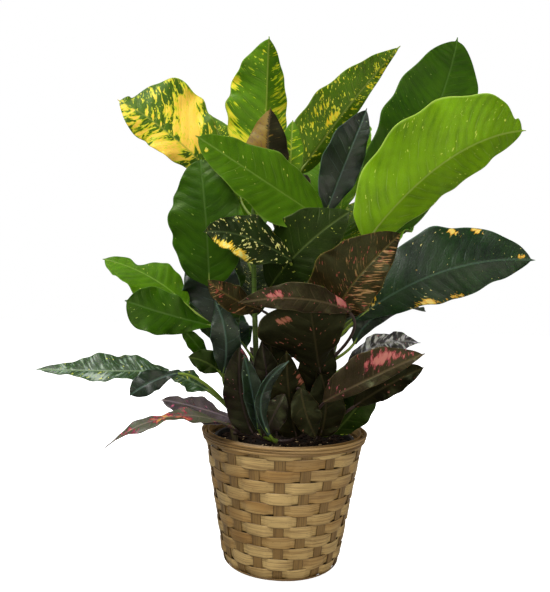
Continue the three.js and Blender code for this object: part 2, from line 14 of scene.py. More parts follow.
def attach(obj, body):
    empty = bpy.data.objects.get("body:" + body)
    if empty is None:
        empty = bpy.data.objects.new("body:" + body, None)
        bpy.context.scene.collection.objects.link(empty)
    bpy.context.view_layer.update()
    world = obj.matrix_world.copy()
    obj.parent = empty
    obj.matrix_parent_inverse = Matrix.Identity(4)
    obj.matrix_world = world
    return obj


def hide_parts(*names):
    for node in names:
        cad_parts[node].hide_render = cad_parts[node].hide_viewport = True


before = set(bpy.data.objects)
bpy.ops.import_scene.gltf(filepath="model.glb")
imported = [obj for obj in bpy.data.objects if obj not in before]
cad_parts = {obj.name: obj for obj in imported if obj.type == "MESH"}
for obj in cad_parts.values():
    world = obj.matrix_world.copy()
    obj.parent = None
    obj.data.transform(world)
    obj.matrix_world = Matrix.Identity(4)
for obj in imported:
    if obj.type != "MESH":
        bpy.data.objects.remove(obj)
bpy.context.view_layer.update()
MM = 0.001
print("solids to dress:", len(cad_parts))

# %% [markdown]
# ## The camera first
# A photographer stands this close to a plant to fill the frame with it, so near leaves look
# larger than far ones. The lens and the distance belong together: a longer lens from further
# back would flatten the basket's rim and shrink the leaves in front. The camera looks up by less
# than a degree and leans a little, as one held in the hand does.

# %% Camera
PHOTO_HEIGHT = 592
FOCAL_PIXELS = 580
SENSOR = 36.0
STANDPOINT = (-0.015, -0.650, 0.280)
LOOK_UP, LEAN = 0.8, 1.8  # degrees
camera = bpy.data.objects.new("camera", bpy.data.cameras.new("camera"))
camera.data.sensor_width = SENSOR
camera.data.lens = SENSOR * FOCAL_PIXELS / PHOTO_HEIGHT
look_up = Matrix.Rotation(np.radians(90 + LOOK_UP), 4, "X")
lean = Matrix.Rotation(np.radians(LEAN), 4, "Z")
camera.matrix_world = Matrix.Translation(STANDPOINT) @ look_up @ lean
bpy.context.collection.objects.link(camera)
bpy.context.scene.camera = camera
print(f"lens {camera.data.lens:.1f} mm")

# %% [markdown]
# ## Surfaces from arrays
# Every piece here is a skin over rings of points: a leaf is a very flat tube, a split of bamboo
# is a flat bar bent round the basket, a pot is a stack of circles. One function turns such an
# array of rings into faces, closes the ends and makes the faces point outwards, and another puts
# the result into a mesh and says which body it moves with. The arrays are computed whole, which
# is short to write and takes milliseconds.

# %% Rings to a closed skin
def skin(rings, marks=None, looped=False):
    """Closed surface over rings of points, shape (rows, sides, 3).

    Face (i, j) joins points j and j+1 of ring i to the same two of ring i+1, and the last point
    of a ring joins the first. A looped skin joins its last ring to its first. Any other gets a
    point in the middle of each end with a fan of triangles. Six times the signed volume is the
    sum of a . (b x c) over the triangles, and where it is negative the faces are turned round.
    marks holds values for each point, by attribute name.
    """
    rows, sides, _ = rings.shape
    row = np.arange(rows if looped else rows - 1)[:, None] * sides
    above = (row + sides) % (rows * sides)
    here, there = np.arange(sides), (np.arange(sides) + 1) % sides
    quads = np.stack([row + here, row + there, above + there, above + here], axis=-1).reshape(-1, 4)
    points = rings.reshape(-1, 3)
    values = {key: value.reshape(-1, 3) for key, value in (marks or {}).items()}
    fans = np.zeros((0, 3), int)
    if not looped:
        first, last, end = rows * sides, rows * sides + 1, (rows - 1) * sides
        fans = np.vstack([
            np.stack([there, here, np.full(sides, first)], axis=-1),
            np.stack([end + here, end + there, np.full(sides, last)], axis=-1),
        ])
        points = np.vstack([points, rings[0].mean(0), rings[-1].mean(0)])
        values = {
            key: np.vstack([value, value[:sides].mean(0), value[-sides:].mean(0)])
            for key, value in values.items()
        }
    triangles = np.vstack([quads[:, [0, 1, 2]], quads[:, [0, 2, 3]], fans])
    a, b, c = (points[triangles[:, n]] for n in range(3))
    if (a * np.cross(b, c)).sum() < 0:
        quads, fans = quads[:, ::-1], fans[:, ::-1]
    return {"points": points, "faces": quads.tolist() + fans.tolist(), "marks": values}


def make_piece(name, skins, materials, node):
    """One mesh object, in metres, from closed skins in millimetres, each with its own material."""
    count = np.cumsum([0] + [len(one["points"]) for one in skins])
    points = np.vstack([one["points"] for one in skins]) * MM
    faces = [[n + first for n in face] for one, first in zip(skins, count) for face in one["faces"]]
    mesh = bpy.data.meshes.new(name)
    mesh.from_pydata(points.tolist(), [], faces)
    for key in skins[0]["marks"]:
        values = np.vstack([one["marks"][key] for one in skins]).astype(np.float32)
        attribute = mesh.attributes.new(key, "FLOAT_VECTOR", "POINT")
        attribute.data.foreach_set("vector", values.ravel())
    mesh.shade_smooth()
    for material in materials:
        mesh.materials.append(material)
    sizes = [len(one["faces"]) for one in skins]
    which = np.repeat(np.minimum(np.arange(len(skins)), len(materials) - 1), sizes)
    mesh.polygons.foreach_set("material_index", which.astype(np.int32))
    made = bpy.data.objects.new(name, mesh)
    bpy.context.collection.objects.link(made)
    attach(made, "root")
    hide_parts(node)


def unit(vectors):
    """Each vector over its own length."""
    return vectors / np.linalg.norm(vectors, axis=-1, keepdims=True)


SIDEWAYS = (0.31, 0.95, 0.05)  # a direction that no stem and no stalk runs along
WAVES = 14


def tube(path, radii, sides):
    """Rings of a round bar: circles square to the path, at the given radius for each place."""
    forward = unit(np.gradient(path, axis=0))
    across = unit(np.cross(forward, SIDEWAYS))
    other = np.cross(forward, across)
    turn = 2 * np.pi * np.arange(sides) / sides
    circle = np.cos(turn)[:, None] * across[:, None, :] + np.sin(turn)[:, None] * other[:, None, :]
    return path[:, None, :] + circle * np.asarray(radii)[:, None, None]


def rough(x, y, size, seed):
    """Uneven ground, mostly from -1 to 1: twice the mean of 14 sine waves that run in seeded
    random directions, with wavelengths from 0.6 to 1.6 of the size."""
    pick = np.random.default_rng(seed)
    turn, start = pick.uniform(0, 2 * np.pi, (2, WAVES))
    length = size * pick.uniform(0.6, 1.6, WAVES)
    phase = (x[..., None] * np.cos(turn) + y[..., None] * np.sin(turn)) / length
    return np.sin(2 * np.pi * phase + start).sum(-1) / (WAVES / 2)


bar = skin(tube(np.linspace((0, 0, 0), (0, 0, 10), 5), np.ones(5), 8))
print("a short bar has", len(bar["points"]), "points and", len(bar["faces"]), "faces")


# %% [markdown]
# ## Colour and nodes
# A colour picked from a picture is an sRGB value, and the shader wants linear light, so
# one function converts it. Another adds a node, sets its sockets and links it, which keeps each
# material short enough to read from top to bottom.

# %% Colour and node helpers
def colour(code):
    """Linear RGBA of an sRGB hex value: c / 12.92 up to 0.04045, else ((c + 0.055) / 1.055)^2.4."""
    c = np.array([int(code[n:n + 2], 16) for n in (1, 3, 5)]) / 255
    linear = np.where(c <= 0.04045, c / 12.92, ((c + 0.055) / 1.055) ** 2.4)
    return (*linear.tolist(), 1.0)


SMOOTH = {"interpolation_type": "SMOOTHSTEP"}
RGBA = {"data_type": "RGBA"}
TIMES, TIMES_PLUS = {"operation": "MULTIPLY"}, {"operation": "MULTIPLY_ADD"}


def add(tree, kind, sockets=None, out=None, **settings):
    """Add a shader node, set its settings, and give each socket a value or a link. Returns the
    node, or its output where out names or numbers one."""
    made = tree.nodes.new("ShaderNode" + kind)
    for key, value in settings.items():
        setattr(made, key, value)
    for key, value in (sockets or {}).items():
        if isinstance(value, bpy.types.NodeSocket):
            tree.links.new(value, made.inputs[key])
        else:
            made.inputs[key].default_value = value
    return made if out is None else made.outputs[out]


def new_material(name, **finish):
    """A Principled material with its fixed values set straight on the shader's sockets."""
    material = bpy.data.materials.new(name)
    material.use_nodes = True
    shader = material.node_tree.nodes["Principled BSDF"]
    for key, value in finish.items():
        shader.inputs[key.replace("_", " ").title().replace("Ior", "IOR")].default_value = value
    return material, material.node_tree, shader


print(f"half grey #808080 is {colour('#808080')[0]:.3f} in linear light")


# %% [markdown]
# ## The stems and where their leaves grow
# A croton is a shrub: a few upright stems, each with leaves set round it on short stalks. Each
# stem is an arc through three points. Each leaf that faces the front has a row of its own,
# because a plant is known by the way its own leaves stand, and the far side follows a rule with
# seeded chance in it. The rows repeat the model's, so the finer leaves lie where its solids do.

# %% Stems and leaf rows
ROOTED_TO = 76
STEMS = {
    "left": [(-42, -14, ROOTED_TO), (-68, -14, 225), (-82, 0, 402)],
    "middle": [(0, 2, ROOTED_TO), (-2, 6, 240), (-20, 12, 425)],
    "right": [(32, -6, ROOTED_TO), (48, -8, 215), (86, 24, 348)],
    "front": [(-10, -40, ROOTED_TO), (-10, -42, 115), (-8, -44, 158)],
    "back_left": [(-24, 34, ROOTED_TO), (-38, 60, 250), (-46, 80, 410)],
    "back_right": [(26, 36, ROOTED_TO), (40, 66, 240), (50, 86, 385)],
}

# base, middle and tip are places on the midrib, and halves the widest reach to its left and
# right. face is where the upper side looks. wave is the height of the margin's waves, how many
# there are and where they start. folds are the degrees that each half is lifted. shape says where
# the blade is widest and how full its outline is. look is its colouring. A notch in the margin has
# its place along the blade, its half (0 left, 1 right), its depth and its reach. A patch is a place
# where the pale colouring gathers: along the blade 0 to 1, across it -1 to 1, its reach each way
# and its strength. What a row leaves out is as on a plain blade.
PLAIN_BLADE = {"face": (0, -1, 0.1), "wave": (3, 2, 0), "folds": (0, 0), "shape": (1, 0.75),
               "patches": (), "notches": ()}
LEAVES = [
    dict(on="left", base=(-75, 5, 410), middle=(-138, -5, 466), tip=(-200, 0, 505),
         halves=(26, 60), face=(0, -1, 0.4), wave=(5, 2.5, 0.1), folds=(-20, 5),
         shape=(1.45, 0.72), look="yellow_blotched", notches=[(0.91, 1, 0.55, 0.035),
         (0.62, 0, 0.22, 0.05)], patches=[(0.36, 0.25, 0.07, 0.25, 0.6),
         (0.47, 0.48, 0.07, 0.25, 0.6), (0.57, 0.75, 0.06, 0.3, 0.6),
         (0.44, -0.75, 0.12, 0.42, 0.6), (0.78, -0.6, 0.25, 0.6, 0.22)]),
    dict(on="middle", base=(-32, 20, 430), middle=(-32, 25, 520), tip=(-31, 10, 587),
         halves=(46, 34), wave=(4, 3, 0), folds=(0, -45), shape=(0.82, 0.7), look="lime_striped",
         patches=[(0.12, -0.5, 0.12, 0.6, 0.7), (0.3, -0.95, 0.16, 0.25, 0.5),
         (0.62, -0.9, 0.07, 0.16, 0.45), (0.55, 0.75, 0.5, 0.45, 0.3),
         (0.85, -0.3, 0.05, 0.1, 0.4)]),
    dict(on="middle", base=(-22, -5, 400), middle=(-28, -15, 449), tip=(-26, -10, 498),
         halves=(26, 24), wave=(3, 2, 0.2), folds=(-20, -20), look="tan_and_black",
         patches=[(0.45, -0.68, 0.6, 0.5, 1.8)]),
    dict(on="middle", base=(-2, 10, 410), middle=(-2, 12, 454), tip=(-1, 15, 493), halves=(14, 14),
         face=(0, -1, 0), wave=(2, 2, 0), look="lime_striped", patches=[(0.5, 0, 0.5, 1, 0.2)]),
    dict(on="middle", base=(38, -6, 374), middle=(-33, -42, 411), tip=(-102, -60, 450),
         halves=(38, 40), face=(0, -1, 0.5), shape=(0.72, 0.62), look="plain_green",
         patches=[(0.89, -0.5, 0.03, 0.3, 0.75), (0.97, 0.5, 0.03, 0.4, 0.5)]),
    dict(on="middle", base=(8, 40, 435), middle=(68, 40, 522), tip=(124, 30, 590), halves=(40, 15),
         face=(0, -1, -0.2), wave=(4, 2.5, 0.3), folds=(0, -20), shape=(0.62, 0.8),
         look="yellow_flecked", patches=[(0.36, -0.17, 0.06, 0.1, 0.6),
         (0.36, -0.6, 0.12, 0.25, 0.25), (0.8, 0.6, 0.3, 0.6, 0.3)]),
    dict(on="middle", base=(39, 10, 383), middle=(61, 5, 446), tip=(83, 5, 506), halves=(28, 19),
         face=(0.2, -1, 0), wave=(4, 2, 0.2), folds=(10, 10), look="dark_green_with_painted_sheen"),
    dict(on="right", base=(90, 45, 350), middle=(172, 80, 506), tip=(209, 90, 631),
         halves=(62, 54), face=(0, -1, -0.2), wave=(4, 2.5, 0.2), shape=(0.95, 0.55),
         look="deep_green", patches=[(0.62, 0.35, 0.06, 0.3, 0.16)]),
    dict(on="right", base=(82, -10, 350), middle=(165, -25, 440), tip=(254, -20, 478),
         halves=(62, 40), face=(0, -1, -0.2), wave=(5, 2.5, 0.2), folds=(0, -34),
         shape=(0.95, 0.48), look="bright_green", notches=[(0.93, 0, 0.4, 0.02)]),
    dict(on="right", base=(68, -30, 263), middle=(154, -55, 318), tip=(250, -60, 333),
         halves=(48, 30), face=(0, -1, 0.4), wave=(4, 2.5, 0), folds=(0, -20), shape=(1.15, 0.7),
         look="dark_gold", patches=[(0.38, 0.9, 0.08, 0.22, 0.6), (0.55, 0.95, 0.06, 0.16, 0.5),
         (0.12, -0.1, 0.05, 0.3, 0.4), (0.63, -0.9, 0.025, 0.16, 0.7),
         (0.74, -0.92, 0.025, 0.14, 0.7), (0.93, -0.2, 0.03, 0.3, 0.4)]),
    dict(on="middle", base=(2, -44, 325), middle=(-46, -62, 347), tip=(-89, -70, 350),
         halves=(26, 26), face=(0, -1, 0.5), wave=(4, 2, 0), look="dark_flecked",
         patches=[(0.75, -0.8, 0.12, 0.3, 0.7), (0.5, -0.9, 0.12, 0.25, 0.6)]),
    dict(on="middle", base=(-22, -18, 296), middle=(13, -46, 340), tip=(63, -46, 381),
         halves=(38, 30), face=(0, -1, 0.3), look="olive"),
    dict(on="right", base=(48, -45, 263), middle=(62, -70, 302), tip=(114, -60, 359),
         halves=(42, 26), face=(0, -1, 0.2), wave=(4, 2.5, 0), folds=(10, 10),
         look="bronze_streaked", patches=[(0.6, 0.5, 0.6, 0.5, 0.2), (0.05, 0.2, 0.1, 0.5, 0.3)]),
    dict(on="middle", base=(-28, -60, 274), middle=(-58, -75, 285), tip=(-82, -80, 302),
         halves=(14, 14), face=(0, -1, 0.5), wave=(2, 2, 0), look="bronze_streaked",
         patches=[(0.85, 0, 0.2, 0.8, 0.2)]),
    dict(on="right", base=(61, -78, 275), middle=(9, -98, 286), tip=(-50, -106, 280),
         halves=(12, 15), wave=(4, 2, 0), look="brown_rose", patches=[(0.12, 0.5, 0.09, 0.6, 0.6),
         (0.72, 0.2, 0.09, 0.4, 0.6)]),
    dict(on="left", base=(-86, -25, 296), middle=(-90, -45, 370), tip=(-99, -40, 433),
         halves=(40, 37), face=(-0.2, -1, 0.1), wave=(4, 2.5, 0), shape=(0.82, 0.55),
         look="deep_green"),
    dict(on="left", base=(-84, 6, 252), middle=(-88, 10, 304), tip=(-122, 10, 336),
         halves=(34, 30), face=(0, -1, 0.3), wave=(4, 2, 0), look="dark_green_with_painted_sheen"),
    dict(on="left", base=(-110, -10, 274), middle=(-158, 2, 307), tip=(-216, 20, 326),
         halves=(32, 31), face=(0, -0.6, 1), wave=(4, 2, 0), look="plain_green",
         notches=[(0.72, 1, 0.4, 0.09)]),
    dict(on="left", base=(-78, -20, 254), middle=(-124, -45, 265), tip=(-168, -60, 279),
         halves=(25, 26), face=(0, -1, 0.4), wave=(4, 2, 0), shape=(1.9, 0.6), look="deep_green"),
    dict(on="left", base=(-125, -30, 206), middle=(-184, -45, 205), tip=(-264, -40, 204),
         halves=(13, 25), face=(0, -0.8, 1), wave=(3, 3, 0), shape=(1, 0.9), look="green_with_painted_sheen",
         patches=[(0.6, -0.55, 0.06, 0.25, 0.5), (0.85, 0, 0.12, 0.7, 0.12)]),
    dict(on="left", base=(-84, -24, 185), middle=(-105, -30, 196), tip=(-126, -34, 204),
         halves=(12, 13), face=(0, -0.8, 1), look="green_with_painted_sheen"),
    dict(on="left", base=(-88, -20, 220), middle=(-99, -30, 236), tip=(-113, -40, 252),
         halves=(8, 8), face=(0, -1, 0.3), wave=(2, 2, 0), look="deep_green"),
    dict(on="left", base=(-49, -45, 157), middle=(-88, -64, 173), tip=(-126, -70, 181),
         halves=(20, 17), face=(0, -0.5, 1), look="mauve_with_painted_sheen",
         patches=[(0.75, -0.6, 0.15, 0.35, 0.4)]),
    dict(on="left", base=(-51, -65, 154), middle=(-111, -97, 170), tip=(-172, -110, 139),
         halves=(11, 11), face=(0, -0.3, 1), wave=(3, 2.5, 0), shape=(1, 0.9), look="crimson_aged",
         patches=[(0.42, -0.4, 0.07, 0.4, 0.45), (0.56, 0.2, 0.1, 0.9, 0.3),
         (0.8, 0, 0.04, 0.8, 0.3), (0.97, 0, 0.05, 1, 0.3)]),
    dict(on="right", base=(67, -16, 217), middle=(100, -34, 241), tip=(140, -40, 244),
         halves=(12, 12), face=(0, -1, 0.5), wave=(5, 3, 0), look="marbled_with_painted_sheen"),
    dict(on="right", base=(36, -66, 183), middle=(80, -95, 213), tip=(129, -100, 238),
         halves=(25, 8), face=(0, -1, 0.3), look="brown_rose",
         patches=[(0.68, -0.5, 0.22, 0.4, 0.52)]),
    dict(on="right", base=(69, -56, 178), middle=(101, -78, 205), tip=(133, -84, 223),
         halves=(16, 11), face=(0, -1, 0.3), wave=(5, 2.5, 0), look="bronze_olive",
         patches=[(0.8, 0.8, 0.06, 0.3, 0.5)]),
    dict(on="front", base=(-33, -58, 147), middle=(-47, -64, 190), tip=(-48, -66, 238),
         halves=(17, 19), shape=(0.8, 0.6), look="purple_black",
         patches=[(0.92, 0.6, 0.07, 0.5, 0.5)]),
    dict(on="front", base=(-8, -46, 143), middle=(-17, -52, 186), tip=(-27, -54, 241),
         halves=(20, 20), shape=(0.8, 0.6), look="purple_black",
         patches=[(0.43, 0.25, 0.05, 0.3, 0.5)]),
    dict(on="front", base=(12, -56, 145), middle=(3, -68, 183), tip=(-2, -78, 235),
         halves=(20, 19), shape=(0.8, 0.6), look="bronze_olive",
         patches=[(0.73, 0.8, 0.1, 0.3, 0.5)]),
    dict(on="right", base=(27, -25, 150), middle=(31, -42, 208), tip=(33, -46, 262),
         halves=(20, 20), shape=(1, 0.6), look="bronze_olive",
         patches=[(0.5, -0.7, 0.2, 0.3, 0.12)]),
    dict(on="front", base=(-8, -30, 160), middle=(-14, -33, 205), tip=(-20, -38, 256),
         halves=(20, 20), shape=(1, 0.7), look="bronze_olive"),
    dict(on="right", base=(52, -30, 144), middle=(74, -40, 174), tip=(88, -44, 202),
         halves=(17, 17), shape=(1, 0.5), look="olive"),
    dict(on="right", base=(35, -46, 209), middle=(26, -70, 247), tip=(19, -76, 287),
         halves=(56, 34), wave=(4, 1.5, 0.2), shape=(2.3, 0.55), look="bronze_olive",
         patches=[(0.78, -0.55, 0.06, 0.2, 0.6)]),
    dict(on="right", base=(73, -18, 239), middle=(98, -26, 273), tip=(153, -20, 293),
         halves=(14, 9), face=(0, -1, 0.2), wave=(2, 2, 0), look="dark_green_with_painted_sheen"),
    dict(on="left", base=(-67, -44, 206), middle=(-64, -56, 244), tip=(-76, -52, 280),
         halves=(15, 15), face=(0, -1, 0), look="dark_green_with_painted_sheen"),
    dict(on="left", base=(-111, -60, 207), middle=(-135, -68, 199), tip=(-157, -70, 184),
         halves=(11, 13), face=(0, -1, 0.3), shape=(1.6, 0.7), look="dark_green_with_painted_sheen"),
    dict(on="left", base=(-72, -34, 207), middle=(-86, -40, 217), tip=(-104, -44, 222),
         halves=(11, 13), face=(0, -1, 0.3), wave=(2, 2, 0), look="olive"),
    dict(on="front", base=(-28, -68, 154), middle=(-35, -74, 192), tip=(-44, -76, 229),
         halves=(10, 11), face=(0.3, -1, 0), wave=(2, 2, 0), folds=(25, 25), look="dark_green_with_painted_sheen"),
    dict(on="front", base=(-16, -80, 151), middle=(-25, -86, 191), tip=(1, -88, 226),
         halves=(6, 8), face=(0.4, -1, 0.2), wave=(2, 2, 0), folds=(20, 0), look="dark_green_with_painted_sheen"),
    dict(on="right", base=(36, -46, 144), middle=(41, -52, 179), tip=(34, -50, 211),
         halves=(20, 19), shape=(0.8, 0.6), look="bronze_olive"),
    dict(on="front", base=(-3, -74, 191), middle=(-13, -80, 170), tip=(-23, -76, 148),
         halves=(12, 12), face=(0, -1, 0.3), look="purple_black"),
    dict(on="front", base=(13, -76, 198), middle=(19, -83, 174), tip=(30, -79, 150),
         halves=(14, 14), face=(0, -1, 0.3), look="bronze_olive"),
]

FAR_SIDE = [
    # the stem, how many leaves, between which heights, the degrees that they face and fan out,
    # how steeply the lowest and the highest rise, and their length
    dict(on="back_left", count=7, heights=(165, 385), facing=116, spread=34,
         rises=(8, 62), length=165),
    dict(on="back_right", count=7, heights=(175, 372), facing=64, spread=-34,
         rises=(8, 64), length=165),
    dict(on="left", count=2, heights=(205, 330), facing=114, spread=8,
         rises=(20, 50), length=140),
    dict(on="right", count=2, heights=(245, 310), facing=40, spread=8,
         rises=(8, 28), length=122),
    dict(on="middle", count=2, heights=(330, 395), facing=97, spread=18,
         rises=(50, 62), length=128),
]
FAR_SEED = 25
FAR_STALK, FAR_STALK_RISE = 34, 42
GOLDEN, WOBBLE = 0.618, 10      # the golden section, and the degrees that chance turns a leaf
SMALLEST, SPREAD = 0.86, 0.28   # a leaf's length is from 0.86 to 1.14 of its rule's
FAR_WIDTH, FAR_ARCH, FAR_WAVE, FAR_FOLD = 0.40, 0.07, 4, 12
FAR_LOOKS = ["brown_rose", "dark_gold", "olive", "dark_flecked", "plain_green", "yellow_flecked",
             "lime_striped"]
print("leaves with a row of their own:", len(LEAVES))


# %% Arcs, and the rule for the far side
def arc(points, s):
    """Places and directions on the arc through three points.

    It is the quadratic curve (1-s)^2 a + 2s(1-s) k + s^2 b, with the knee k = 2m - (a+b)/2, and
    it runs along (1-s)(k-a) + s(b-k).
    """
    a, m, b = np.asarray(points, float)
    knee = 2 * m - (a + b) / 2
    s = np.asarray(s, float)[..., None]
    place = (1 - s) ** 2 * a + 2 * s * (1 - s) * knee + s ** 2 * b
    return place, unit((1 - s) * (knee - a) + s * (b - knee))


def at_height(points, height):
    """Where on a rising arc a height is reached: the root of its quadratic in s, within 0 to 1."""
    low, middle, high = (p[2] for p in points)
    knee = 2 * middle - (low + high) / 2
    bend, slope, start = low - 2 * knee + high, 2 * (knee - low), low - height
    if abs(bend) < 1e-9:
        return float(np.clip(-start / slope, 0, 1))
    root = np.sqrt(max(slope ** 2 - 4 * bend * start, 0))
    return float(np.clip((root - slope) / (2 * bend), 0, 1))


def chance(seed):
    """Numbers from 0 to 1 that come the same each time: state x 16807, modulo 2147483647."""
    state = seed
    while True:
        state = state * 16807 % 2147483647
        yield state / 2147483647


def far_leaves():
    """Rows for the leaves of the far side, spread round each stem by the golden section."""
    draw = chance(FAR_SEED)
    rows = []
    for rule in FAR_SIDE:
        for k in range(rule["count"]):
            part = k / (rule["count"] - 1)
            fan = 2 * (k * GOLDEN % 1) - 1
            turn = np.radians(rule["facing"] + rule["spread"] * fan + 8 * (next(draw) - 0.5))
            steepness = np.interp(part, (0, 1), rule["rises"])
            rise = np.radians(steepness + WOBBLE * (next(draw) - 0.5))
            size = rule["length"] * (SMALLEST + SPREAD * next(draw))

            def out(angle, turn=turn):
                level = np.array([np.cos(turn), np.sin(turn), 0])
                return np.cos(angle) * level + np.sin(angle) * np.array([0, 0, 1])

            stem = STEMS[rule["on"]]
            root, _ = arc(stem, at_height(stem, np.interp(part, (0, 1), rule["heights"])))
            base = root + out(np.radians(FAR_STALK_RISE)) * FAR_STALK
            tip = base + out(rise) * size
            face = out(rise + np.pi / 2)
            half = FAR_WIDTH * size / 2
            rows.append(dict(
                on=rule["on"], base=base, middle=(base + tip) / 2 + face * FAR_ARCH * size, tip=tip,
                face=face, halves=(half, half), folds=(FAR_FOLD, FAR_FOLD),
                wave=(FAR_WAVE, 2 + next(draw), next(draw)), shape=(1, 0.72),
                look=FAR_LOOKS[min(int(part * 5) + len(rows) % 3, len(FAR_LOOKS) - 1)],
            ))
    return rows


print("leaves on the far side:", len(far_leaves()))


# %% [markdown]
# ## Croton leaf colouring
# A croton leaf is thick and leathery, with a waxy skin that shows soft highlights. The green is
# broken by blotches and flecks with no green in them, and those spread from cell to cell between
# the side veins, so they are stretched along the veins. That is why the pattern is worked out in
# vein space: one coordinate counts millimetres across the side veins and the other along them.
# Noise in that space is squeezed into streaks, and a threshold cuts it into patches with a sharp
# edge. Young leaves at the top are green and yellow, and old ones near the pot turn bronze and
# purple with rose patches.

# %% Colourings, from young to old
LOOKS = {
    # the two tones of the flesh and a blotch from its edge to its heart, then the score above
    # which a blotch shows, the blotches' size across and along the veins, a fleck's colour and
    # its score, the veins, the underside, and how waxy the skin is
    "yellow_blotched": (("#30500a", "#456808"), ("#b0bc24", "#dfc832", "#f2c850"),
        0.555, (6, 13), ("#d9c838", 0.66), "#7f8c34", "#8a923c", 0.25),
    "lime_striped": (("#426e04", "#567f06"), ("#8aa810", "#c4c41c", "#dccb34"),
        0.655, (4, 24), ("#b8c834", 0.72), "#93a440", "#7c8c38", 0.25),
    "yellow_flecked": (("#3a5804", "#486806"), ("#a4b010", "#d4c020", "#e0b424"),
        0.665, (3.4, 9), ("#ccc838", 0.625), "#808e3c", "#6f7c34", 0.25),
    "plain_green": (("#3a5e02", "#487003"), ("#9aae14", "#dcc834", "#e8d458"),
        0.78, (4, 9), ("#d0d468", 0.745), "#6f8c34", "#64782c", 0.25),
    "bright_green": (("#648c02", "#78a404"), ("#a8bc1c", "#d4cc40", "#e0dc78"),
        0.76, (3, 7), ("#c4d454", 0.72), "#a4b858", "#93a450", 0.25),
    "deep_green": (("#1f4001", "#315602"), ("#748f14", "#bcb430", "#d0c858"),
        0.80, (4, 9), ("#93ac48", 0.76), "#4c6c2c", "#4a6028", 0.25),
    "olive": (("#0c1702", "#192b04"), ("#748414", "#b8a830", "#ccc054"),
        0.76, (3.4, 12), ("#98a43c", 0.73), "#4c5c28", "#3c4820", 0.18),
    "dark_gold": (("#0a1c0c", "#16320e"), ("#a0801c", "#d8a02c", "#e0c468"),
        0.72, (5, 10), ("#d4cc80", 0.73), "#44604a", "#34422a", 0.3),
    "dark_flecked": (("#0b1504", "#152606"), ("#948c1c", "#dcac20", "#e4c44c"),
        0.68, (3, 12), ("#d0cc7c", 0.64), "#3c4c28", "#383c20", 0.25),
    # dark green flesh with grey-green streaks along the veins, the streaks being painted sheen
    "dark_green_with_painted_sheen": (("#0a160a", "#182a14"), ("#445e40", "#6c8060", "#88967a"),
        0.76, (3, 20), ("#7a8e6c", 0.76), "#4c6858", "#323e34", 0.4),
    # dark green flesh with silver blotches along the veins, the silver being painted sheen
    "green_with_painted_sheen": (("#1a3010", "#304c24"), ("#3c5440", "#64785f", "#8a9a88"),
        0.53, (3.4, 14), ("#c4c84c", 0.68), "#7c9468", "#4c5c42", 0.4),
    # dark marbling that is the leaf's own, with silver-grey blotches that are painted sheen
    "marbled_with_painted_sheen": (("#1c1a1a", "#3c3a38"), ("#686866", "#a0a09c", "#c4c4c0"),
        0.50, (4, 10), ("#a06468", 0.74), "#8c8c88", "#4a4644", 0.55),
    "tan_and_black": (("#0d0906", "#1c140c"), ("#4c3a12", "#6e541c", "#7c6024"),
        0.66, (2.6, 22), ("#6e5030", 0.71), "#4c3c28", "#4c3c24", 0.25),
    "bronze_streaked": (("#130e05", "#261c0a"), ("#50381c", "#8a6440", "#a07c54"),
        0.63, (1.9, 15), ("#7c3830", 0.68), "#5c4c24", "#3c2e18", 0.25),
    "brown_rose": (("#1f160d", "#362a1e"), ("#5c262a", "#984048", "#b06c64"),
        0.68, (4, 10), ("#a85860", 0.70), "#64543c", "#3c2e28", 0.25),
    # old bronze leaves, their flesh near black: partly their own colour, partly painted shade for
    # the inside of the plant
    "bronze_olive": (("#080602", "#161206"), ("#4c2e18", "#80483a", "#985c4c"),
        0.72, (4, 10), ("#905448", 0.73), "#3c3420", "#181409", 0.18),
    # dark mauve flesh clouded with grey: the mauve and the pink blotches are its own, the grey is
    # painted sheen
    "mauve_with_painted_sheen": (("#251d20", "#5a4f50"), ("#702c40", "#9c4860", "#b0647c"),
        0.70, (4, 12), ("#a45c70", 0.73), "#86767a", "#463a3e", 0.4),
    "crimson_aged": (("#34401c", "#545244"), ("#701c34", "#a42440", "#c08c4c"),
        0.62, (6, 14), ("#b04058", 0.70), "#7c6c60", "#4c423c", 0.4),
    "purple_black": (("#0a0605", "#190e0e"), ("#401c24", "#803c44", "#985460"),
        0.72, (3, 9), ("#905060", 0.74), "#3c2e30", "#2a1f20", 0.25),
}
print("colourings:", ", ".join(LOOKS))

# %% [markdown]
# ## One table for the fine patterns
# Clouds, streaks, flecks and sheen are all noise. They differ in the coordinates that they read,
# in their size and in the range of values that shows. So they stand in one table, and a loop
# makes their nodes. Sizes are in millimetres: across the side veins and along them for vein_place,
# along the blade and across it for blade_place. The sizes are those of a real leaf, with flecks
# 2 to 5 mm long and a side vein every 12 mm. Only the grain of the skin is finer than a millimetre
# on a real leaf, and it is drawn 2 mm wide so that it shows.

# %% Patterns of the leaf
LEAF_NOISE = {
    # coordinates, size, detail, seed step, and the mask: from low to high it goes start to end
    "clouds": ("blade_place", (34, 34), 3, 1.0, (0.3, 0.7, 0.0, 1.0)),
    "lines": ("vein_place", (1.6, 30), 2, 1.0, (0.35, 0.7, 0.0, 0.35)),
    # how dark the painted shade in the furrows is, varying over the blade
    "furrow_shade_strength": ("blade_place", (22, 22), 2, 6.0, (0.35, 0.7, 0.1, 0.6)),
    "flecks": ("vein_place", (2.4, 4.6), 1, 2.0, None),
    "fleck_clusters": ("blade_place", (26, 26), 1, 3.0, (0.35, 0.65, -0.06, 0.03)),
    "veins_show": ("blade_place", (18, 18), 2, 5.0, (0.42, 0.66, 0.0, 1.0)),
    "sheen": ("blade_place", (9, 9), 2, 4.0, (0.3, 0.7, 0.32, 0.52)),
    "grain": ("blade_place", (2.2, 2.2), 3, 1.0, None),
}
BLOTCH_NOISE = {"Scale": 1.0, "Detail": 4, "Roughness": 0.6, "Distortion": 0.4}
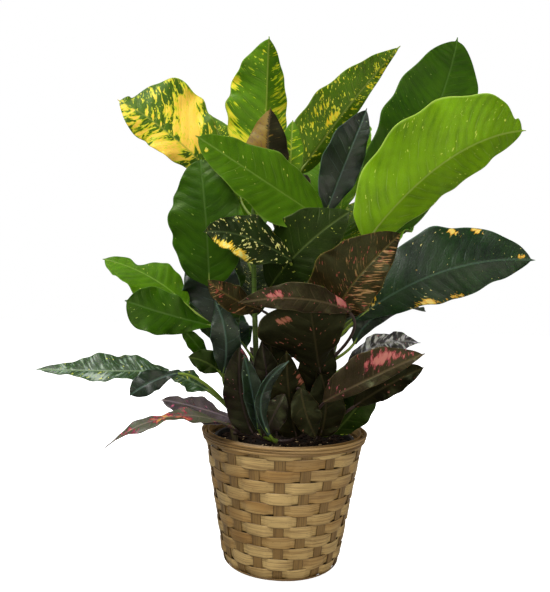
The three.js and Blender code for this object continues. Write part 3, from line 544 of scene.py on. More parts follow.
NET_CELLS = (0.42, 0.30, 1)  # cells of the net per mm, across and along the side veins
VEIN_SPACING = 12.0
# What all leaves share. A matt leaf mirrors the light greenish, and a waxier one greyish.
FIXED = dict(ior=1.45, subsurface_weight=0.35, subsurface_radius=(0.6, 1.0, 0.2),
             subsurface_scale=0.0015)
GREEN_GLOSS, GREY_GLOSS, WAXY = (0.85, 1.0, 0.45, 1.0), (1.0, 0.97, 0.94, 1.0), 0.3
# painted shade: the colour is darkened in the furrow along each side vein, where shade falls
FURROW_SHADE = (0.50, 0.58, 0.40, 1.0)


def leaf_patterns(tree, read):
    """The table's patterns: noise at the coordinates over the pattern's size, then its mask."""
    made = {}
    for key, (place, size, detail, seed_step, band) in LEAF_NOISE.items():
        scale = (1 / size[0], 1 / size[1], seed_step)
        scaled = add(tree, "VectorMath", {0: read[place], 1: scale}, 0, **TIMES)
        inputs = {"Vector": scaled, "Scale": 1.0, "Detail": detail}
        made[key] = add(tree, "TexNoise", inputs, 0)
        if band:
            inputs = dict(enumerate((made[key], *band)))
            made[key] = add(tree, "MapRange", inputs, 0, **SMOOTH)
    return made


print("patterns:", ", ".join(LEAF_NOISE))


# %% The leaf material
def set_stops(ramp, stops):
    """Give a colour ramp its places and colours."""
    elements = ramp.color_ramp.elements
    while len(elements) < len(stops):
        elements.new(0.5)
    for element, (place, value) in zip(elements, stops):
        element.position = place
        element.color = value


def croton_leaf(name, flesh, blotch, threshold, streak, fleck, vein, under, wax):
    """Leathery leaf, painted layer over layer: cloudy flesh, painted shade in the furrow at each
    side vein, blotches cut from noise in vein space, flecks, pale veins, a painted highlight along
    the margin, and a duller underside."""
    tint = GREEN_GLOSS if wax < WAXY else GREY_GLOSS
    finish = dict(FIXED, specular_ior_level=wax, specular_tint=tint)
    title = name.replace("_", " ")
    material, tree, shader = new_material(f"waxy croton leaf, {title}", **finish)
    read = {
        key: add(tree, "Attribute", out="Vector", attribute_name=key)
        for key in ("vein_place", "blade_place", "blade_mark")
    }
    patch, margin, underside = add(tree, "SeparateXYZ", {0: read["blade_mark"]}).outputs
    across_veins = add(tree, "SeparateXYZ", {0: read["vein_place"]}, 0)
    from_midrib = add(tree, "SeparateXYZ", {0: read["blade_place"]}, 1)
    made = leaf_patterns(tree, read)

    # distances from the nearest side vein and from the midrib in mm, and within the net's cells
    from_vein = add(tree, "Math", {0: across_veins, 1: VEIN_SPACING / 2}, 0, operation="PINGPONG")
    from_rib = add(tree, "Math", {0: from_midrib}, 0, operation="ABSOLUTE")
    cells = add(tree, "VectorMath", {0: read["vein_place"], 1: NET_CELLS}, 0, **TIMES)
    cells = {"Vector": cells, "Scale": 1.0}
    from_net = add(tree, "TexVoronoi", cells, 0, feature="DISTANCE_TO_EDGE")

    # scores for blotches, drawn out along the veins, and for flecks, in loose clusters: both are
    # raised in the patches that this leaf has of its own
    scale = (1 / streak[0], 1 / streak[1], 1)
    drawn = add(tree, "VectorMath", {0: read["vein_place"], 1: scale}, 0, **TIMES)
    score = add(tree, "TexNoise", {"Vector": drawn, **BLOTCH_NOISE}, 0)
    score = add(tree, "Math", {0: patch, 1: 0.6, 2: score}, 0, **TIMES_PLUS)
    spots = add(tree, "Math", {0: made["flecks"], 1: made["fleck_clusters"]}, 0, operation="ADD")
    spots = add(tree, "Math", {0: patch, 1: 0.12, 2: spots}, 0, **TIMES_PLUS)

    # masks: the value that each reads, then from low to high it goes from start to end
    masks = {
        # painted shade in the furrows: darkest at each side vein, gone 4.5 mm from it
        "furrow": (from_vein, 0.4, 4.5, 1.0, 0.0),
        "blotch": (score, threshold - 0.008, threshold + 0.016, 0.0, 1.0),
        "blotch_heart": (score, threshold, threshold + 0.16, 0.0, 1.0),
        "fleck": (spots, fleck[1], fleck[1] + 0.03, 0.0, 1.0),
        "vein": (from_vein, 0.15, 1.0, 1.0, 0.0),
        "inner": (margin, 0.5, 1.0, 0.26, 0.04),
        "net": (from_net, 0.0, 0.12, 1.0, 0.0),
        "rib": (from_rib, 0.5, 1.5, 1.0, 0.0),
        # painted highlight: a pale line along the margin, where the leaf's edge catches the light
        "edge": (margin, 0.955, 0.985, 0.0, 0.55),
    }
    for key, values in masks.items():
        made[key] = add(tree, "MapRange", dict(enumerate(values)), 0, **SMOOTH)
    for key, first, second in (
        ("furrow", made["furrow"], made["furrow_shade_strength"]),
        ("vein", made["vein"], made["veins_show"]),
        ("faint_net", made["net"], 0.07),
        ("faint_rib", made["rib"], 0.5),
        ("hidden", underside, 0.6),
    ):
        made[key] = add(tree, "Math", {0: first, 1: second}, 0, **TIMES)
    made["faint_vein"] = add(tree, "Math", {0: made["vein"], 1: made["inner"]}, 0, **TIMES)

    # blotches change colour from their edge to their heart
    ramp = add(tree, "ValToRGB", {0: made["blotch_heart"]})
    set_stops(ramp, list(zip((0.0, 0.35, 1.0), map(colour, blotch))))

    # the coats of paint, from the flesh up: where each shows, its colour, how it is laid on
    body = colour(flesh[0])
    for where, coat, blend in (
        ("clouds", colour(flesh[1]), "MIX"),
        ("lines", colour(flesh[1]), "MIX"),
        # painted shade, laid over the flesh by multiplying
        ("furrow", FURROW_SHADE, "MULTIPLY"),
        ("blotch", ramp.outputs[0], "MIX"),
        ("fleck", colour(fleck[0]), "MIX"),
        ("faint_vein", colour(vein), "MIX"),
        ("faint_net", colour(vein), "MIX"),
        ("faint_rib", colour(vein), "MIX"),
        # painted highlight along the margin
        ("edge", colour(vein), "MIX"),
        ("hidden", colour(under), "MIX"),
    ):
        body = add(tree, "Mix", {0: made[where], 6: body, 7: coat}, 2, blend_type=blend, **RGBA)
    tree.links.new(body, shader.inputs["Base Color"])
    tree.links.new(made["sheen"], shader.inputs["Roughness"])

    # relief: the skin's grain with the side veins and the net sunk into it
    relief = add(tree, "Math", {0: made["net"], 1: 0.4, 2: made["vein"]}, 0, **TIMES_PLUS)
    relief = add(tree, "Math", {0: made["grain"], 1: 0.9, 2: relief}, 0, **TIMES_PLUS)
    bump = {"Strength": 0.5, "Distance": 0.0003, "Height": relief}
    tree.links.new(add(tree, "Bump", bump, 0, invert=True), shader.inputs["Normal"])
    return material


leaf_finish = {name: croton_leaf(name, *look) for name, look in LOOKS.items()}
print("leaf colourings:", len(leaf_finish))


# %% [markdown]
# ## Stalks and stems
# The stalk of a croton leaf is a firm green bar, thicker where it leaves the stem. The stem is
# green and smooth near the top and turns woody, with a ring left by each fallen leaf.

# %% Bark and stalk materials
WOODY_TO, GREEN_FROM = 0.16, 0.34  # heights in metres
RING_HALF = 0.0008
CRACKS = (900, 900, 60)            # cracks per metre: about 1 mm apart and 17 mm long


def soft_bark(name, green, brown, ring_spacing):
    """Stem skin: brown below, green above, with scar rings and fine lengthwise cracks."""
    material, tree, shader = new_material(name, ior=1.45, roughness=0.55, coat_weight=0.08)
    place = add(tree, "TexCoord", out="Object")
    height = add(tree, "SeparateXYZ", {0: place}, 2)
    clouds = add(tree, "TexNoise", {"Vector": place, "Scale": 60.0, "Detail": 4.0}, 0)
    age = add(tree, "MapRange", {0: height, 1: WOODY_TO, 2: GREEN_FROM}, 0)
    age = add(tree, "Math", {0: clouds, 1: 0.7, 2: age}, 0, **TIMES_PLUS)
    age = add(tree, "MapRange", {0: age, 1: 0.3, 2: 1.0}, 0)
    body = add(tree, "Mix", {0: age, 6: colour(brown), 7: colour(green)}, 2, **RGBA)
    rings = add(tree, "Math", {0: height, 1: ring_spacing * MM}, 0, operation="PINGPONG")
    rings = add(tree, "MapRange", {0: rings, 1: 0.0, 2: RING_HALF, 3: 1.0, 4: 0.0}, 0)
    rings = add(tree, "Math", {0: rings, 1: 0.5}, 0, **TIMES)
    body = add(tree, "Mix", {0: rings, 6: body, 7: colour("#2a2117")}, 2, **RGBA)
    tree.links.new(body, shader.inputs["Base Color"])
    squeeze = add(tree, "Mapping", {"Vector": place, "Scale": CRACKS}, 0)
    cracks = add(tree, "TexNoise", {"Vector": squeeze, "Scale": 1.0, "Detail": 3.0}, 0)
    bump = {"Strength": 0.6, "Distance": 0.0004, "Height": cracks}
    tree.links.new(add(tree, "Bump", bump, 0), shader.inputs["Normal"])
    return material


stem_finish = soft_bark("croton stem, green turning woody", "#56721f", "#4a3c2a", 6)
stalk_green = soft_bark("leaf stalk, young green", "#7f9434", "#6f8a2c", 400)
stalk_dark = soft_bark("leaf stalk, old and dark", "#4a3a34", "#3b2b28", 400)
print("finishes:", [one.name for one in (stem_finish, stalk_green, stalk_dark)])


# %% [markdown]
# ## The blades
# Seen from the side a leaf is never flat. Its two halves fold up from the midrib or hang from
# it, the margin runs in slow waves because the edge grows longer than the middle, and between
# the side veins the blade puffs up a little, like a quilt. The midrib stands out as a ridge
# below and lies in a groove above. All of it is one function of two parameters: s along the
# midrib and v across, from -1 at the left margin to 1 at the right.

# %% The blade formula
TAIL = 0.03                    # the last part of the midrib runs out into a narrow tip
TIP_HALF, TIP_LENGTH = 1.4, 9  # half width of that tip, and how far before its end it narrows
SHOULDER = 0.07                # the first part of the midrib, where the blade broadens
LEAST_HALF = 0.7               # half width where the blade starts
PULSE, RIPPLE = 0.035, 0.28    # how far the outline follows the waves, and the quick waves' share
BLADE_HALF = 0.32              # half of the blade's thickness
VEIN_LEAN = 0.50               # how far a side vein leans forward for each mm outwards
VEIN_CURVE = 0.006             # and how it curves on towards the tip
QUILT = 0.60                   # how far the blade puffs up between two side veins


def blade_surface(leaf, s, v, seed):
    """Middle surface of a blade on a grid of s (rows) and v (columns), with its own directions.

    side = forward x face and up = side x forward. The half width is halves x sin(pi s^p)^q. A
    point lies width v cos(fold) to the side and width |v| sin(fold) up, plus the slow wave
    height |v|^1.5 sin(pi s)^0.6 sin(2 pi (count s + start)), a quick small ripple of the margin
    with |v|^4, and a quilt, sin^2 between one side vein and the next, which dies out at the
    midrib and the margin. The narrow tip is joined to the half width by the root of the sum of
    squares, and a notch takes depth exp(-((s - at) / reach)^2) off it. The distance across the
    side veins is the distance along the blade less lean x out and curve x out^2, and it wanders
    by a millimetre or two, so that no two furrows run quite alike.
    """
    middle, forward = arc([leaf["base"], leaf["middle"], leaf["tip"]], s)
    side = unit(np.cross(forward, leaf["face"]))
    up = unit(np.cross(side, forward))
    s, v = s[:, None], v[None, :]
    hand = (v >= 0).astype(int)
    widest, fullness = leaf["shape"]
    body = np.clip(s / (1 - TAIL), 0, 1)
    taper = 1 - (1 - np.clip(s / SHOULDER, 0, 1)) ** 2
    outline = np.sin(np.pi * body ** widest) ** fullness * taper
    height, count, start = leaf["wave"]
    pulse = PULSE * np.sin(2 * np.pi * (1.9 * count * s + seed * 0.37 + hand * 0.5))
    length = np.linalg.norm(np.subtract(leaf["tip"], leaf["base"]))
    notch = sum(depth * (hand == half) * np.exp(-((s - at) / reach) ** 2)
                for at, half, depth, reach in leaf["notches"])
    wide = np.take(leaf["halves"], hand) * outline * (1 + pulse * v ** 2) * (1 - notch)
    narrow = TIP_HALF * np.clip((1 - s) * length / TIP_LENGTH, 0, 1)
    width = np.hypot(wide, narrow) + LEAST_HALF * (1 - s) ** 0.5
    fold = np.radians(np.take(leaf["folds"], hand))
    calm = np.sin(np.pi * np.clip(s, 0, 1)) ** 0.6
    slow_turn, quick_turn = count * s + start + hand * 0.37, 3.1 * count * s + seed + hand * 0.41
    slow = height * calm * np.abs(v) ** 1.5 * np.sin(2 * np.pi * slow_turn)
    quick = RIPPLE * height * calm * np.abs(v) ** 4 * np.sin(2 * np.pi * quick_turn)
    out = width * np.abs(v)
    across_veins = s * length - VEIN_LEAN * out - VEIN_CURVE * out ** 2 + hand * VEIN_SPACING / 2
    across_veins = across_veins + 1.6 * np.sin(0.11 * s * length + seed + 2 * hand)
    across_veins = across_veins + 0.5 * np.sin(0.3 * out + seed)
    swell = np.clip(out / 6, 0, 1) * np.clip((1 - np.abs(v)) * 5, 0, 1)
    puff = 0.65 + 0.35 * np.sin(0.06 * s * length + 2 * seed + hand)
    quilt = QUILT * puff * swell * np.sin(np.pi * across_veins / VEIN_SPACING) ** 2
    lift = out * np.sin(fold) + slow + quick + quilt
    place = (middle[:, None] + side[:, None] * (width * v * np.cos(fold))[..., None]
             + up[:, None] * lift[..., None])
    along_veins = out * np.hypot(1, VEIN_LEAN)
    return place, up, width * v, along_veins, across_veins


ROW_STEP, FEWEST_ROWS, MOST_ROWS, HALF_COLUMNS = 1.6, 40, 150, 22
SHARP = 0.02                      # the share of the half width over which the margin thins
RIDGE_HALF, GROOVE_HALF = 1.4, 1.1
GROOVE_DEPTH = 0.35


def blade_skin(leaf, seed):
    """A blade with thickness: its middle surface moved up and down along its normals.

    The rows are a mean of even steps and half a cosine wave, so they crowd towards both ends, and
    the columns crowd towards the midrib. The normal is the cross product of the surface's two
    differences. The midrib adds a ridge exp(-(d / 1.4)^2) below, which sinks towards the tip, and
    a shallow groove exp(-(d / 1.1)^2) above, d being the distance from the middle.
    """
    length = np.linalg.norm(np.subtract(leaf["tip"], leaf["base"]))
    rows = int(np.clip(length / ROW_STEP, FEWEST_ROWS, MOST_ROWS))
    even = np.linspace(0.012, 0.988, rows)
    s = (1 - np.cos(even * np.pi)) / 2 * 0.55 + even * 0.45
    half = np.append(np.linspace(0, 1, HALF_COLUMNS)[1:] ** 1.35 * 0.985, 1.0)
    v = np.concatenate([-half[::-1], [0], half])
    place, up, sideways, along_veins, across_veins = blade_surface(leaf, s, v, seed)
    normal = np.cross(np.gradient(place, axis=1), np.gradient(place, axis=0))
    normal = unit(normal + 1e-9 * up[:, None])
    if (normal[rows // 2, len(v) // 2] * up[rows // 2]).sum() < 0:
        normal = -normal
    full = np.ones_like(sideways)
    thin = BLADE_HALF * np.clip((1 - np.abs(v)) / SHARP, 0, 1)[None, :] * full
    strength = (1 - s)[:, None] ** 0.8
    ridge = (0.2 + 1.1 * strength) * np.exp(-(sideways / RIDGE_HALF) ** 2)
    groove = GROOVE_DEPTH * np.exp(-(sideways / GROOVE_HALF) ** 2)
    upper = place + normal * (thin - groove)[..., None]
    lower = place - normal * (thin + ridge)[..., None]
    rings = np.concatenate([upper, lower[:, -2:0:-1]], axis=1)

    spot = sum(
        force * np.exp(-((s[:, None] - at) / reach) ** 2 - ((v[None, :] - aside) / wide) ** 2)
        for at, aside, reach, wide, force in leaf["patches"]
    ) + 0 * full
    margin = np.abs(v)[None, :] * full
    along = s[:, None] * length * full
    seeds = seed * 7.3 * full

    def both_faces(*values):
        stacked = np.stack(values, axis=-1)
        return np.concatenate([stacked, stacked[:, -2:0:-1]], axis=1)

    marks = {
        "vein_place": both_faces(across_veins, along_veins * np.sign(v)[None, :], seeds),
        "blade_place": both_faces(along, sideways, seeds),
        "blade_mark": both_faces(spot, margin, 0 * full),
    }
    marks["blade_mark"][:, len(v):, 2] = 1
    return skin(rings, marks)


first_blade = blade_skin({**PLAIN_BLADE, **LEAVES[0]}, 1)
print("points in the first blade:", len(first_blade["points"]))


# %% The stalk formula
SOIL_TOP, SOIL_CROWN = 128, 4


def stalk_skin(leaf):
    """The stalk: a quadratic curve from inside the stem to the underside of the blade's base.

    It leaves the stem at a height below the base that grows with the reach, and its knee lies
    before the base on the line of the midrib. Its radius falls from 2.5 to 0.9.
    """
    stem, base = STEMS[leaf["on"]], np.asarray(leaf["base"], float)
    nearest, _ = arc(stem, at_height(stem, base[2]))
    reach = np.hypot(*(nearest - base)[:2])
    lowest = SOIL_TOP + SOIL_CROWN + 6
    root, _ = arc(stem, at_height(stem, max(base[2] - 0.6 * reach - 6, lowest)))
    line = [leaf["base"], leaf["middle"], leaf["tip"]]
    end, forward = arc(line, 0.10)
    _, first = arc(line, 0.0)
    up = unit(np.cross(unit(np.cross(forward, leaf["face"])), forward))
    end = end - up * 0.9
    knee = base - first * 0.35 * reach
    t = np.linspace(0, 1, 26)[:, None]
    path = (1 - t) ** 2 * root + 2 * t * (1 - t) * knee + t ** 2 * end
    radii = np.interp(t[:, 0], (0, 0.12, 0.8, 1), (2.5, 1.8, 1.4, 0.9))
    rings = tube(path, radii, 12)
    blank = {key: np.zeros_like(rings) for key in ("vein_place", "blade_place", "blade_mark")}
    return skin(rings, blank)


# %% [markdown]
# ## Growing the plant
# Each leaf is one piece with its stalk, so that it can be looked at alone, and all pieces of a
# leafy stem stand for the same solid. Blade and stalk are two closed skins with a finish each: a
# leaf that has turned bronze or rose also has a dark stalk.

# %% Grow the leaves
OLD_LOOKS = ("brown_rose", "purple_black", "mauve_with_painted_sheen", "crimson_aged", "bronze_streaked",
             "bronze_olive", "tan_and_black")
rows_of_leaves = [{**PLAIN_BLADE, **row} for row in LEAVES + far_leaves()]
grown = {}
for number, leaf in enumerate(rows_of_leaves):
    stem = leaf["on"]
    grown[stem] = grown.get(stem, 0) + 1
    stalk = stalk_dark if leaf["look"] in OLD_LOOKS else stalk_green
    make_piece(
        f"leaf_{stem}_{grown[stem]:02d}",
        [blade_skin(leaf, 1 + number), stalk_skin(leaf)],
        [leaf_finish[leaf["look"]], stalk],
        f"leafy_stem_{stem}",
    )
print("leaves on each stem:", grown)


# %% Grow the stems
def stem_skin(points):
    """A stem along its arc: it thins from 4 to 2.6 mm, swells by 6 % at each old leaf scar, and
    its last twentieth closes to a bud."""
    s = np.linspace(0, 1, 150)
    path, _ = arc(points, s)
    scar = np.exp(-(((path[:, 2] % 12) - 6) / 1.4) ** 2)
    radii = (4 - 1.4 * s) * (1 + 0.06 * scar) * np.clip((1.004 - s) / 0.05, 0.02, 1) ** 0.6
    return skin(tube(path, radii, 20))


for name, points in STEMS.items():
    make_piece(f"stem_{name}", [stem_skin(points)], [stem_finish], f"leafy_stem_{name}")
print("stems:", len(STEMS))

# %% [markdown]
# ## Split bamboo
# The basket is woven from bamboo that was split into flat strips. A split shows its fibres as
# fine straight lines along its length, brown specks, and a change of tone from one split to the
# next. Its outer skin is smooth enough to shine a little. The pattern must run along each bent
# strip, so every strip carries its own coordinates: millimetres along, millimetres across, and
# a number that makes it differ from its neighbours.

# %% Bamboo material
BAMBOO_NOISE = {
    # along the split and across it in mm, and detail: fibres are drawn 0.9 mm wide and 34 mm long,
    # coarser than real, so that they show
    "clouds": (46, 9, 3),
    "fibres": (34, 0.9, 3),
    "bands": (60, 2.8, 2),
    "specks": (3.2, 0.9, 1),
}


def split_bamboo(name, pale, straw, brown):
    """Fibres in tones from pale to brown, with a tone of its own for each stretch of a split
    between two stakes, brown specks, and a dark line of painted shade along each edge."""
    material, tree, shader = new_material(name, ior=1.5, coat_weight=0.12, coat_roughness=0.35)
    place = add(tree, "Attribute", out="Vector", attribute_name="grain_place")
    mark = add(tree, "Attribute", out="Vector", attribute_name="grain_mark")
    edge_shade, stretch, _ = add(tree, "SeparateXYZ", {0: mark}).outputs
    noise = {}
    for key, (length, width, detail) in BAMBOO_NOISE.items():
        scale = (1 / length, 1 / width, 1)
        scaled = add(tree, "VectorMath", {0: place, 1: scale}, 0, **TIMES)
        inputs = {"Vector": scaled, "Scale": 1.0, "Detail": detail}
        noise[key] = add(tree, "TexNoise", inputs, 0)
    tone = add(tree, "Math", {0: stretch, 1: 0.65, 2: noise["clouds"]}, 0, **TIMES_PLUS)

    # coats over the straw colour: what each reads, its mask from low to high, and its colour
    body = colour(straw)
    for *values, coat in (
        (tone, 0.35, 1.15, 0.0, 1.0, pale),
        (noise["fibres"], 0.44, 0.70, 0.0, 0.60, brown),
        (noise["bands"], 0.50, 0.78, 0.0, 0.50, brown),
        (noise["specks"], 0.68, 0.74, 0.0, 0.55, "#5c4424"),
        # painted shade: a dark line along each edge, where a split laps over or passes behind its
        # neighbour
        (edge_shade, 0.86, 0.99, 0.0, 0.70, "#3c2a14"),
    ):
        where = add(tree, "MapRange", dict(enumerate(values)), 0, **SMOOTH)
        body = add(tree, "Mix", {0: where, 6: body, 7: colour(coat)}, 2, **RGBA)
    tree.links.new(body, shader.inputs["Base Color"])
    sheen = {0: noise["fibres"], 1: 0.3, 2: 0.7, 3: 0.42, 4: 0.62}
    dull = add(tree, "MapRange", sheen, 0, **SMOOTH)
    tree.links.new(dull, shader.inputs["Roughness"])
    bump = {"Strength": 0.55, "Distance": 0.0003, "Height": noise["fibres"]}
    tree.links.new(add(tree, "Bump", bump, 0), shader.inputs["Normal"])
    return material


weave_finish = split_bamboo("split bamboo, straw coloured weaver", "#c9ab70", "#a07a40", "#684824")
stake_finish = split_bamboo("split bamboo, brown stake", "#93743f", "#785a30", "#4c371b")
hoop_finish = split_bamboo("split bamboo, rim hoop", "#b08e58", "#80602f", "#4a3416")
print("finishes:", [one.name for one in (weave_finish, stake_finish, hoop_finish)])

# %% [markdown]
# ## The weave
# Each row is one split that goes outside one stake and inside the next, all the way round, and
# the row above does the opposite. A real split doesn't turn sharply: it lies flat over the
# stake and swings through between two of them. The hyperbolic tangent of a cosine has just that
# form, a wave with flat tops. Where it bulges over a stake the split also looks a little
# broader, and its edges lap over the rows above and below.

# %% Basket formulas
FOOT_RADIUS, FLARE, CORNER, CORNER_INSET = 64.3, 0.1749, 10, 4.5
WALL = 1.9                         # from the outside of the wall to the middle of the stakes
BASKET_HEIGHT, STAKES, STAKE_TURN = 142, 20, -3.5
STAKE_WIDTH, STAKE_FOOT_WIDTH, STAKE_THICKNESS = 11.4, 9.8, 1.0
ROWS, ROW_PITCH, FIRST_ROW = 12, 11.55, 7.5
ROW_HALF, ROW_BULGE, SPLIT_HALF = 6.05, 0.30, 0.38
WEAVE_OFFSET, FLATNESS = 1.05, 2.8
ROUND_LENGTH = 75                  # millimetres of grain for each radian round the basket
GAP = 0.002                        # radians left open between the two ends of a split
HALF_STAKE_ANGLE = 0.157           # radians from a stake to the gap beside it
STEPS_PER_ROW = 560


def stake_radius(z):
    """Radius of the middle of the stakes: a cone, pulled in at the rounded bottom corner."""
    return FOOT_RADIUS + FLARE * z - CORNER_INSET * np.clip(1 - z / CORNER, 0, 1) ** 2 - WALL


def once_round(start, steps):
    """Angles from a start all the way round, but for the gap at each end."""
    return start + np.linspace(GAP, 2 * np.pi - GAP, steps)


def band_section(half_width, half_thickness, crown):
    """Outline of a split cut across: flat with rounded edges, its outside face a little domed.

    Returns places across, depths, and how near the edge each point is: across is sin(a) raised
    to a power below one, and depth is cos(a) to a smaller one, which presses it flat, as a goes
    round. The crown adds 1 - across^2 on the outside.
    """
    turn = 2 * np.pi * np.arange(14) / 14 + np.pi / 14
    wide, deep = np.sin(turn), np.cos(turn)
    wide = np.sign(wide) * np.abs(wide) ** 0.55
    dome = crown * (1 - wide ** 2) * (deep > 0)
    depth = half_thickness * np.sign(deep) * np.abs(deep) ** 0.35 + dome
    return wide * half_width, depth, np.abs(wide)


def grain_marks(along, across, number, edge, tone):
    """What the bamboo's finish reads at each point: millimetres along and across the split with a
    number that differs from its neighbours', then how near its edge the point is, from 0 to 1,
    and how pale the split is."""
    grid = np.zeros(np.broadcast(along, across, edge).shape)
    return {
        "grain_place": np.stack([along + grid, across + grid, number + grid], axis=-1),
        "grain_mark": np.stack([edge + grid, tone + grid, grid], axis=-1),
    }


def band_round(middle_radius, middle_height, half_width, half_thickness, crown, turn, tone, seed):
    """A split bent round the basket: its section set up at each angle, radius and height. tone
    says how pale the split is there, from 0 to 1."""
    wide, depth, edge = band_section(1.0, half_thickness, crown)
    z = middle_height[:, None] + half_width[:, None] * wide[None, :]
    radius = middle_radius(z, turn[:, None]) + depth[None, :]
    points = np.stack([radius * np.cos(turn[:, None]), radius * np.sin(turn[:, None]), z], axis=-1)
    along, across = turn[:, None] * ROUND_LENGTH, half_width[:, None] * wide
    return skin(points, grain_marks(along, across, seed * 5.1, edge, tone[:, None]))


def weave_row(row):
    """One row: offset x tanh(k w) / tanh(k) from the stakes, with w the cosine of ten turns for
    each time round. Its height, its width and its lean wander by slow sine waves, and its tone
    changes behind each stake that it passes, once for each stretch that shows."""
    pick = np.random.default_rng(100 + row)
    start = np.pi / 2 + HALF_STAKE_ANGLE * pick.integers(-4, 5) + np.radians(STAKE_TURN)
    turn = once_round(start, STEPS_PER_ROW)
    phase = STAKES / 2 * (turn - np.radians(STAKE_TURN)) + np.pi * row
    flat = np.tanh(FLATNESS * np.cos(phase)) / np.tanh(FLATNESS)
    stretch = np.floor(phase / (2 * np.pi) + 0.5).astype(int)
    tone = pick.uniform(0, 1, STAKES)[stretch - stretch.min()]
    wander = 0.45 * np.sin(3 * turn + pick.uniform(0, 6))
    wander = wander + 0.35 * np.sin(7 * turn + pick.uniform(0, 6))
    height = FIRST_ROW + row * ROW_PITCH + wander
    half = ROW_HALF + ROW_BULGE * flat + 0.2 * np.sin(5 * turn + pick.uniform(0, 6))
    tilt = 0.40 * np.sin(11 * turn + pick.uniform(0, 6))

    def radius(z, _):
        lean = tilt[:, None] * (z - height[:, None]) / ROW_HALF
        return stake_radius(z) + WEAVE_OFFSET * flat[:, None] + lean

    return band_round(radius, height, half, SPLIT_HALF, 0.12, turn, tone, 3 + row)


for row in range(ROWS):
    make_piece(f"weaver_{row + 1:02d}", [weave_row(row)], [weave_finish], f"weave_row_{row + 1}")
print("weave rows:", ROWS)


# %% [markdown]
# ## Uprights, rim and foot
# The uprights are stiffer splits with their grain standing up, browner than the weave because
# they come from the inner wood. The top edge is held by thin hoops nested round it, three narrow
# ones outside with a dark line between them. At the foot a narrow band on each side of the wall
# closes the first row.

# %% Stakes and hoops
def stake_skin(number):
    """An upright split: its section set across at each height, following the wall."""
    turn = 2 * np.pi * number / STAKES + np.radians(STAKE_TURN)
    z = np.linspace(0.4, BASKET_HEIGHT - 3, 60)
    wide, depth, edge = band_section(1.0, STAKE_THICKNESS / 2, 0.1)
    half = np.interp(z, (0, BASKET_HEIGHT), (STAKE_FOOT_WIDTH, STAKE_WIDTH)) / 2
    across = half[:, None] * wide[None, :]
    out = stake_radius(z)[:, None] + depth[None, :]
    points = np.stack([
        out * np.cos(turn) - across * np.sin(turn),
        out * np.sin(turn) + across * np.cos(turn),
        z[:, None] + 0 * across,
    ], axis=-1)
    return skin(points, grain_marks(z[:, None], across, 40 + number * 3.7, edge, 0.5))


for number in range(STAKES):
    make_piece(f"upright_{number + 1:02d}", [stake_skin(number)], [stake_finish],
               f"stake_{number + 1}")

HOOPS = {
    # the solid that it stands for, its bottom and top, its inner face from the middle of the
    # stakes, and its seed
    "outer_upper": ("rim_hoop_outer", 139.0, 141.7, 3.3, 21),
    "outer_middle": ("rim_hoop_outer", 136.0, 138.7, 3.0, 27),
    "outer_lower": ("rim_hoop_outer", 132.9, 135.7, 2.7, 24),
    "middle": ("rim_hoop_middle", 133, 142, 1.9, 22),
    "inner": ("rim_hoop_inner", 133, 142, -3.3, 23),
    "foot_outside": ("weave_row_1", 0.5, 3.8, 1.4, 25),
    "foot_inside": ("weave_row_1", 0.5, 6.5, -1.9, 26),
}
HOOP_HALF, HOOP_CROWN, STEPS_PER_HOOP = 0.5, 0.45, 400
for name, (node, bottom, top, inside, seed) in HOOPS.items():
    pick = np.random.default_rng(seed)
    turn = once_round(np.pi / 2 + pick.uniform(-0.5, 0.5), STEPS_PER_HOOP)
    height = (bottom + top) / 2 + 0.3 * np.sin(3 * turn + pick.uniform(0, 6))
    half = (top - bottom) / 2 - 0.1 + 0.15 * np.sin(5 * turn + pick.uniform(0, 6))

    def hoop_radius(z, _, inside=inside):
        return stake_radius(z) + inside + HOOP_HALF

    tone = 0.5 + 0.5 * np.sin(2.3 * turn + seed)
    hoop = band_round(hoop_radius, height, half, HOOP_HALF, HOOP_CROWN, turn, tone, seed)
    make_piece(f"hoop_{name}", [hoop], [hoop_finish], node)
print("stakes:", STAKES, "hoops:", len(HOOPS))

# %% [markdown]
# ## The basket's floor
# Under the pot the same splits cross each other over and under. Two sets of strips at right
# angles, each a gentle sine wave, give a plain weave that can be seen from below.

# %% Woven floor
MAT_RADIUS, STRIP_PITCH, STRIPS_EACH_WAY = 56.3, 11.0, 9
MAT_HEIGHT, STRIP_WAVE = 1.5, 0.55
STRIP_HALF, STRIP_THICKNESS_HALF = 5.4, 0.42


def floor_strip(number, lengthwise):
    """One strip of the floor: height 1.5 + 0.55 cos(pi t / pitch), t running along the strip, as
    far as the round mat reaches there."""
    offset = (number - STRIPS_EACH_WAY // 2) * STRIP_PITCH
    reach = np.sqrt(MAT_RADIUS ** 2 - (abs(offset) + 0.45 * STRIP_PITCH) ** 2)
    t = np.linspace(-reach, reach, 90)
    phase = np.pi * (t / STRIP_PITCH + number + (1 if lengthwise else 0))
    middle = MAT_HEIGHT + STRIP_WAVE * np.cos(phase)
    wide, depth, edge = band_section(STRIP_HALF, STRIP_THICKNESS_HALF, 0.1)
    across = offset + wide[None, :] + 0 * t[:, None]
    along = t[:, None] + 0 * across
    z = middle[:, None] + depth[None, :]
    points = np.stack([across, along, z] if lengthwise else [along, across, z], axis=-1)
    return skin(points, grain_marks(along, across, number * 3.3 + 60, edge, 0.5))


strips = [floor_strip(number, way) for way in (True, False) for number in range(STRIPS_EACH_WAY)]
make_piece("woven_floor", strips, [weave_finish], "basket_floor")
print("floor strips:", len(strips))

# %% [markdown]
# ## Nursery pot and soil
# Inside the basket stands the thin black pot that the plant was sold in, injection moulded from
# polypropylene with a rolled lip. Only its lip shows. The soil is a peat mix: dark, crumbly,
# with chips of bark and a few pale bits. Soil and chips are given tones darker than their own
# colour, as painted shade for the shadow under the leaves and the rim.

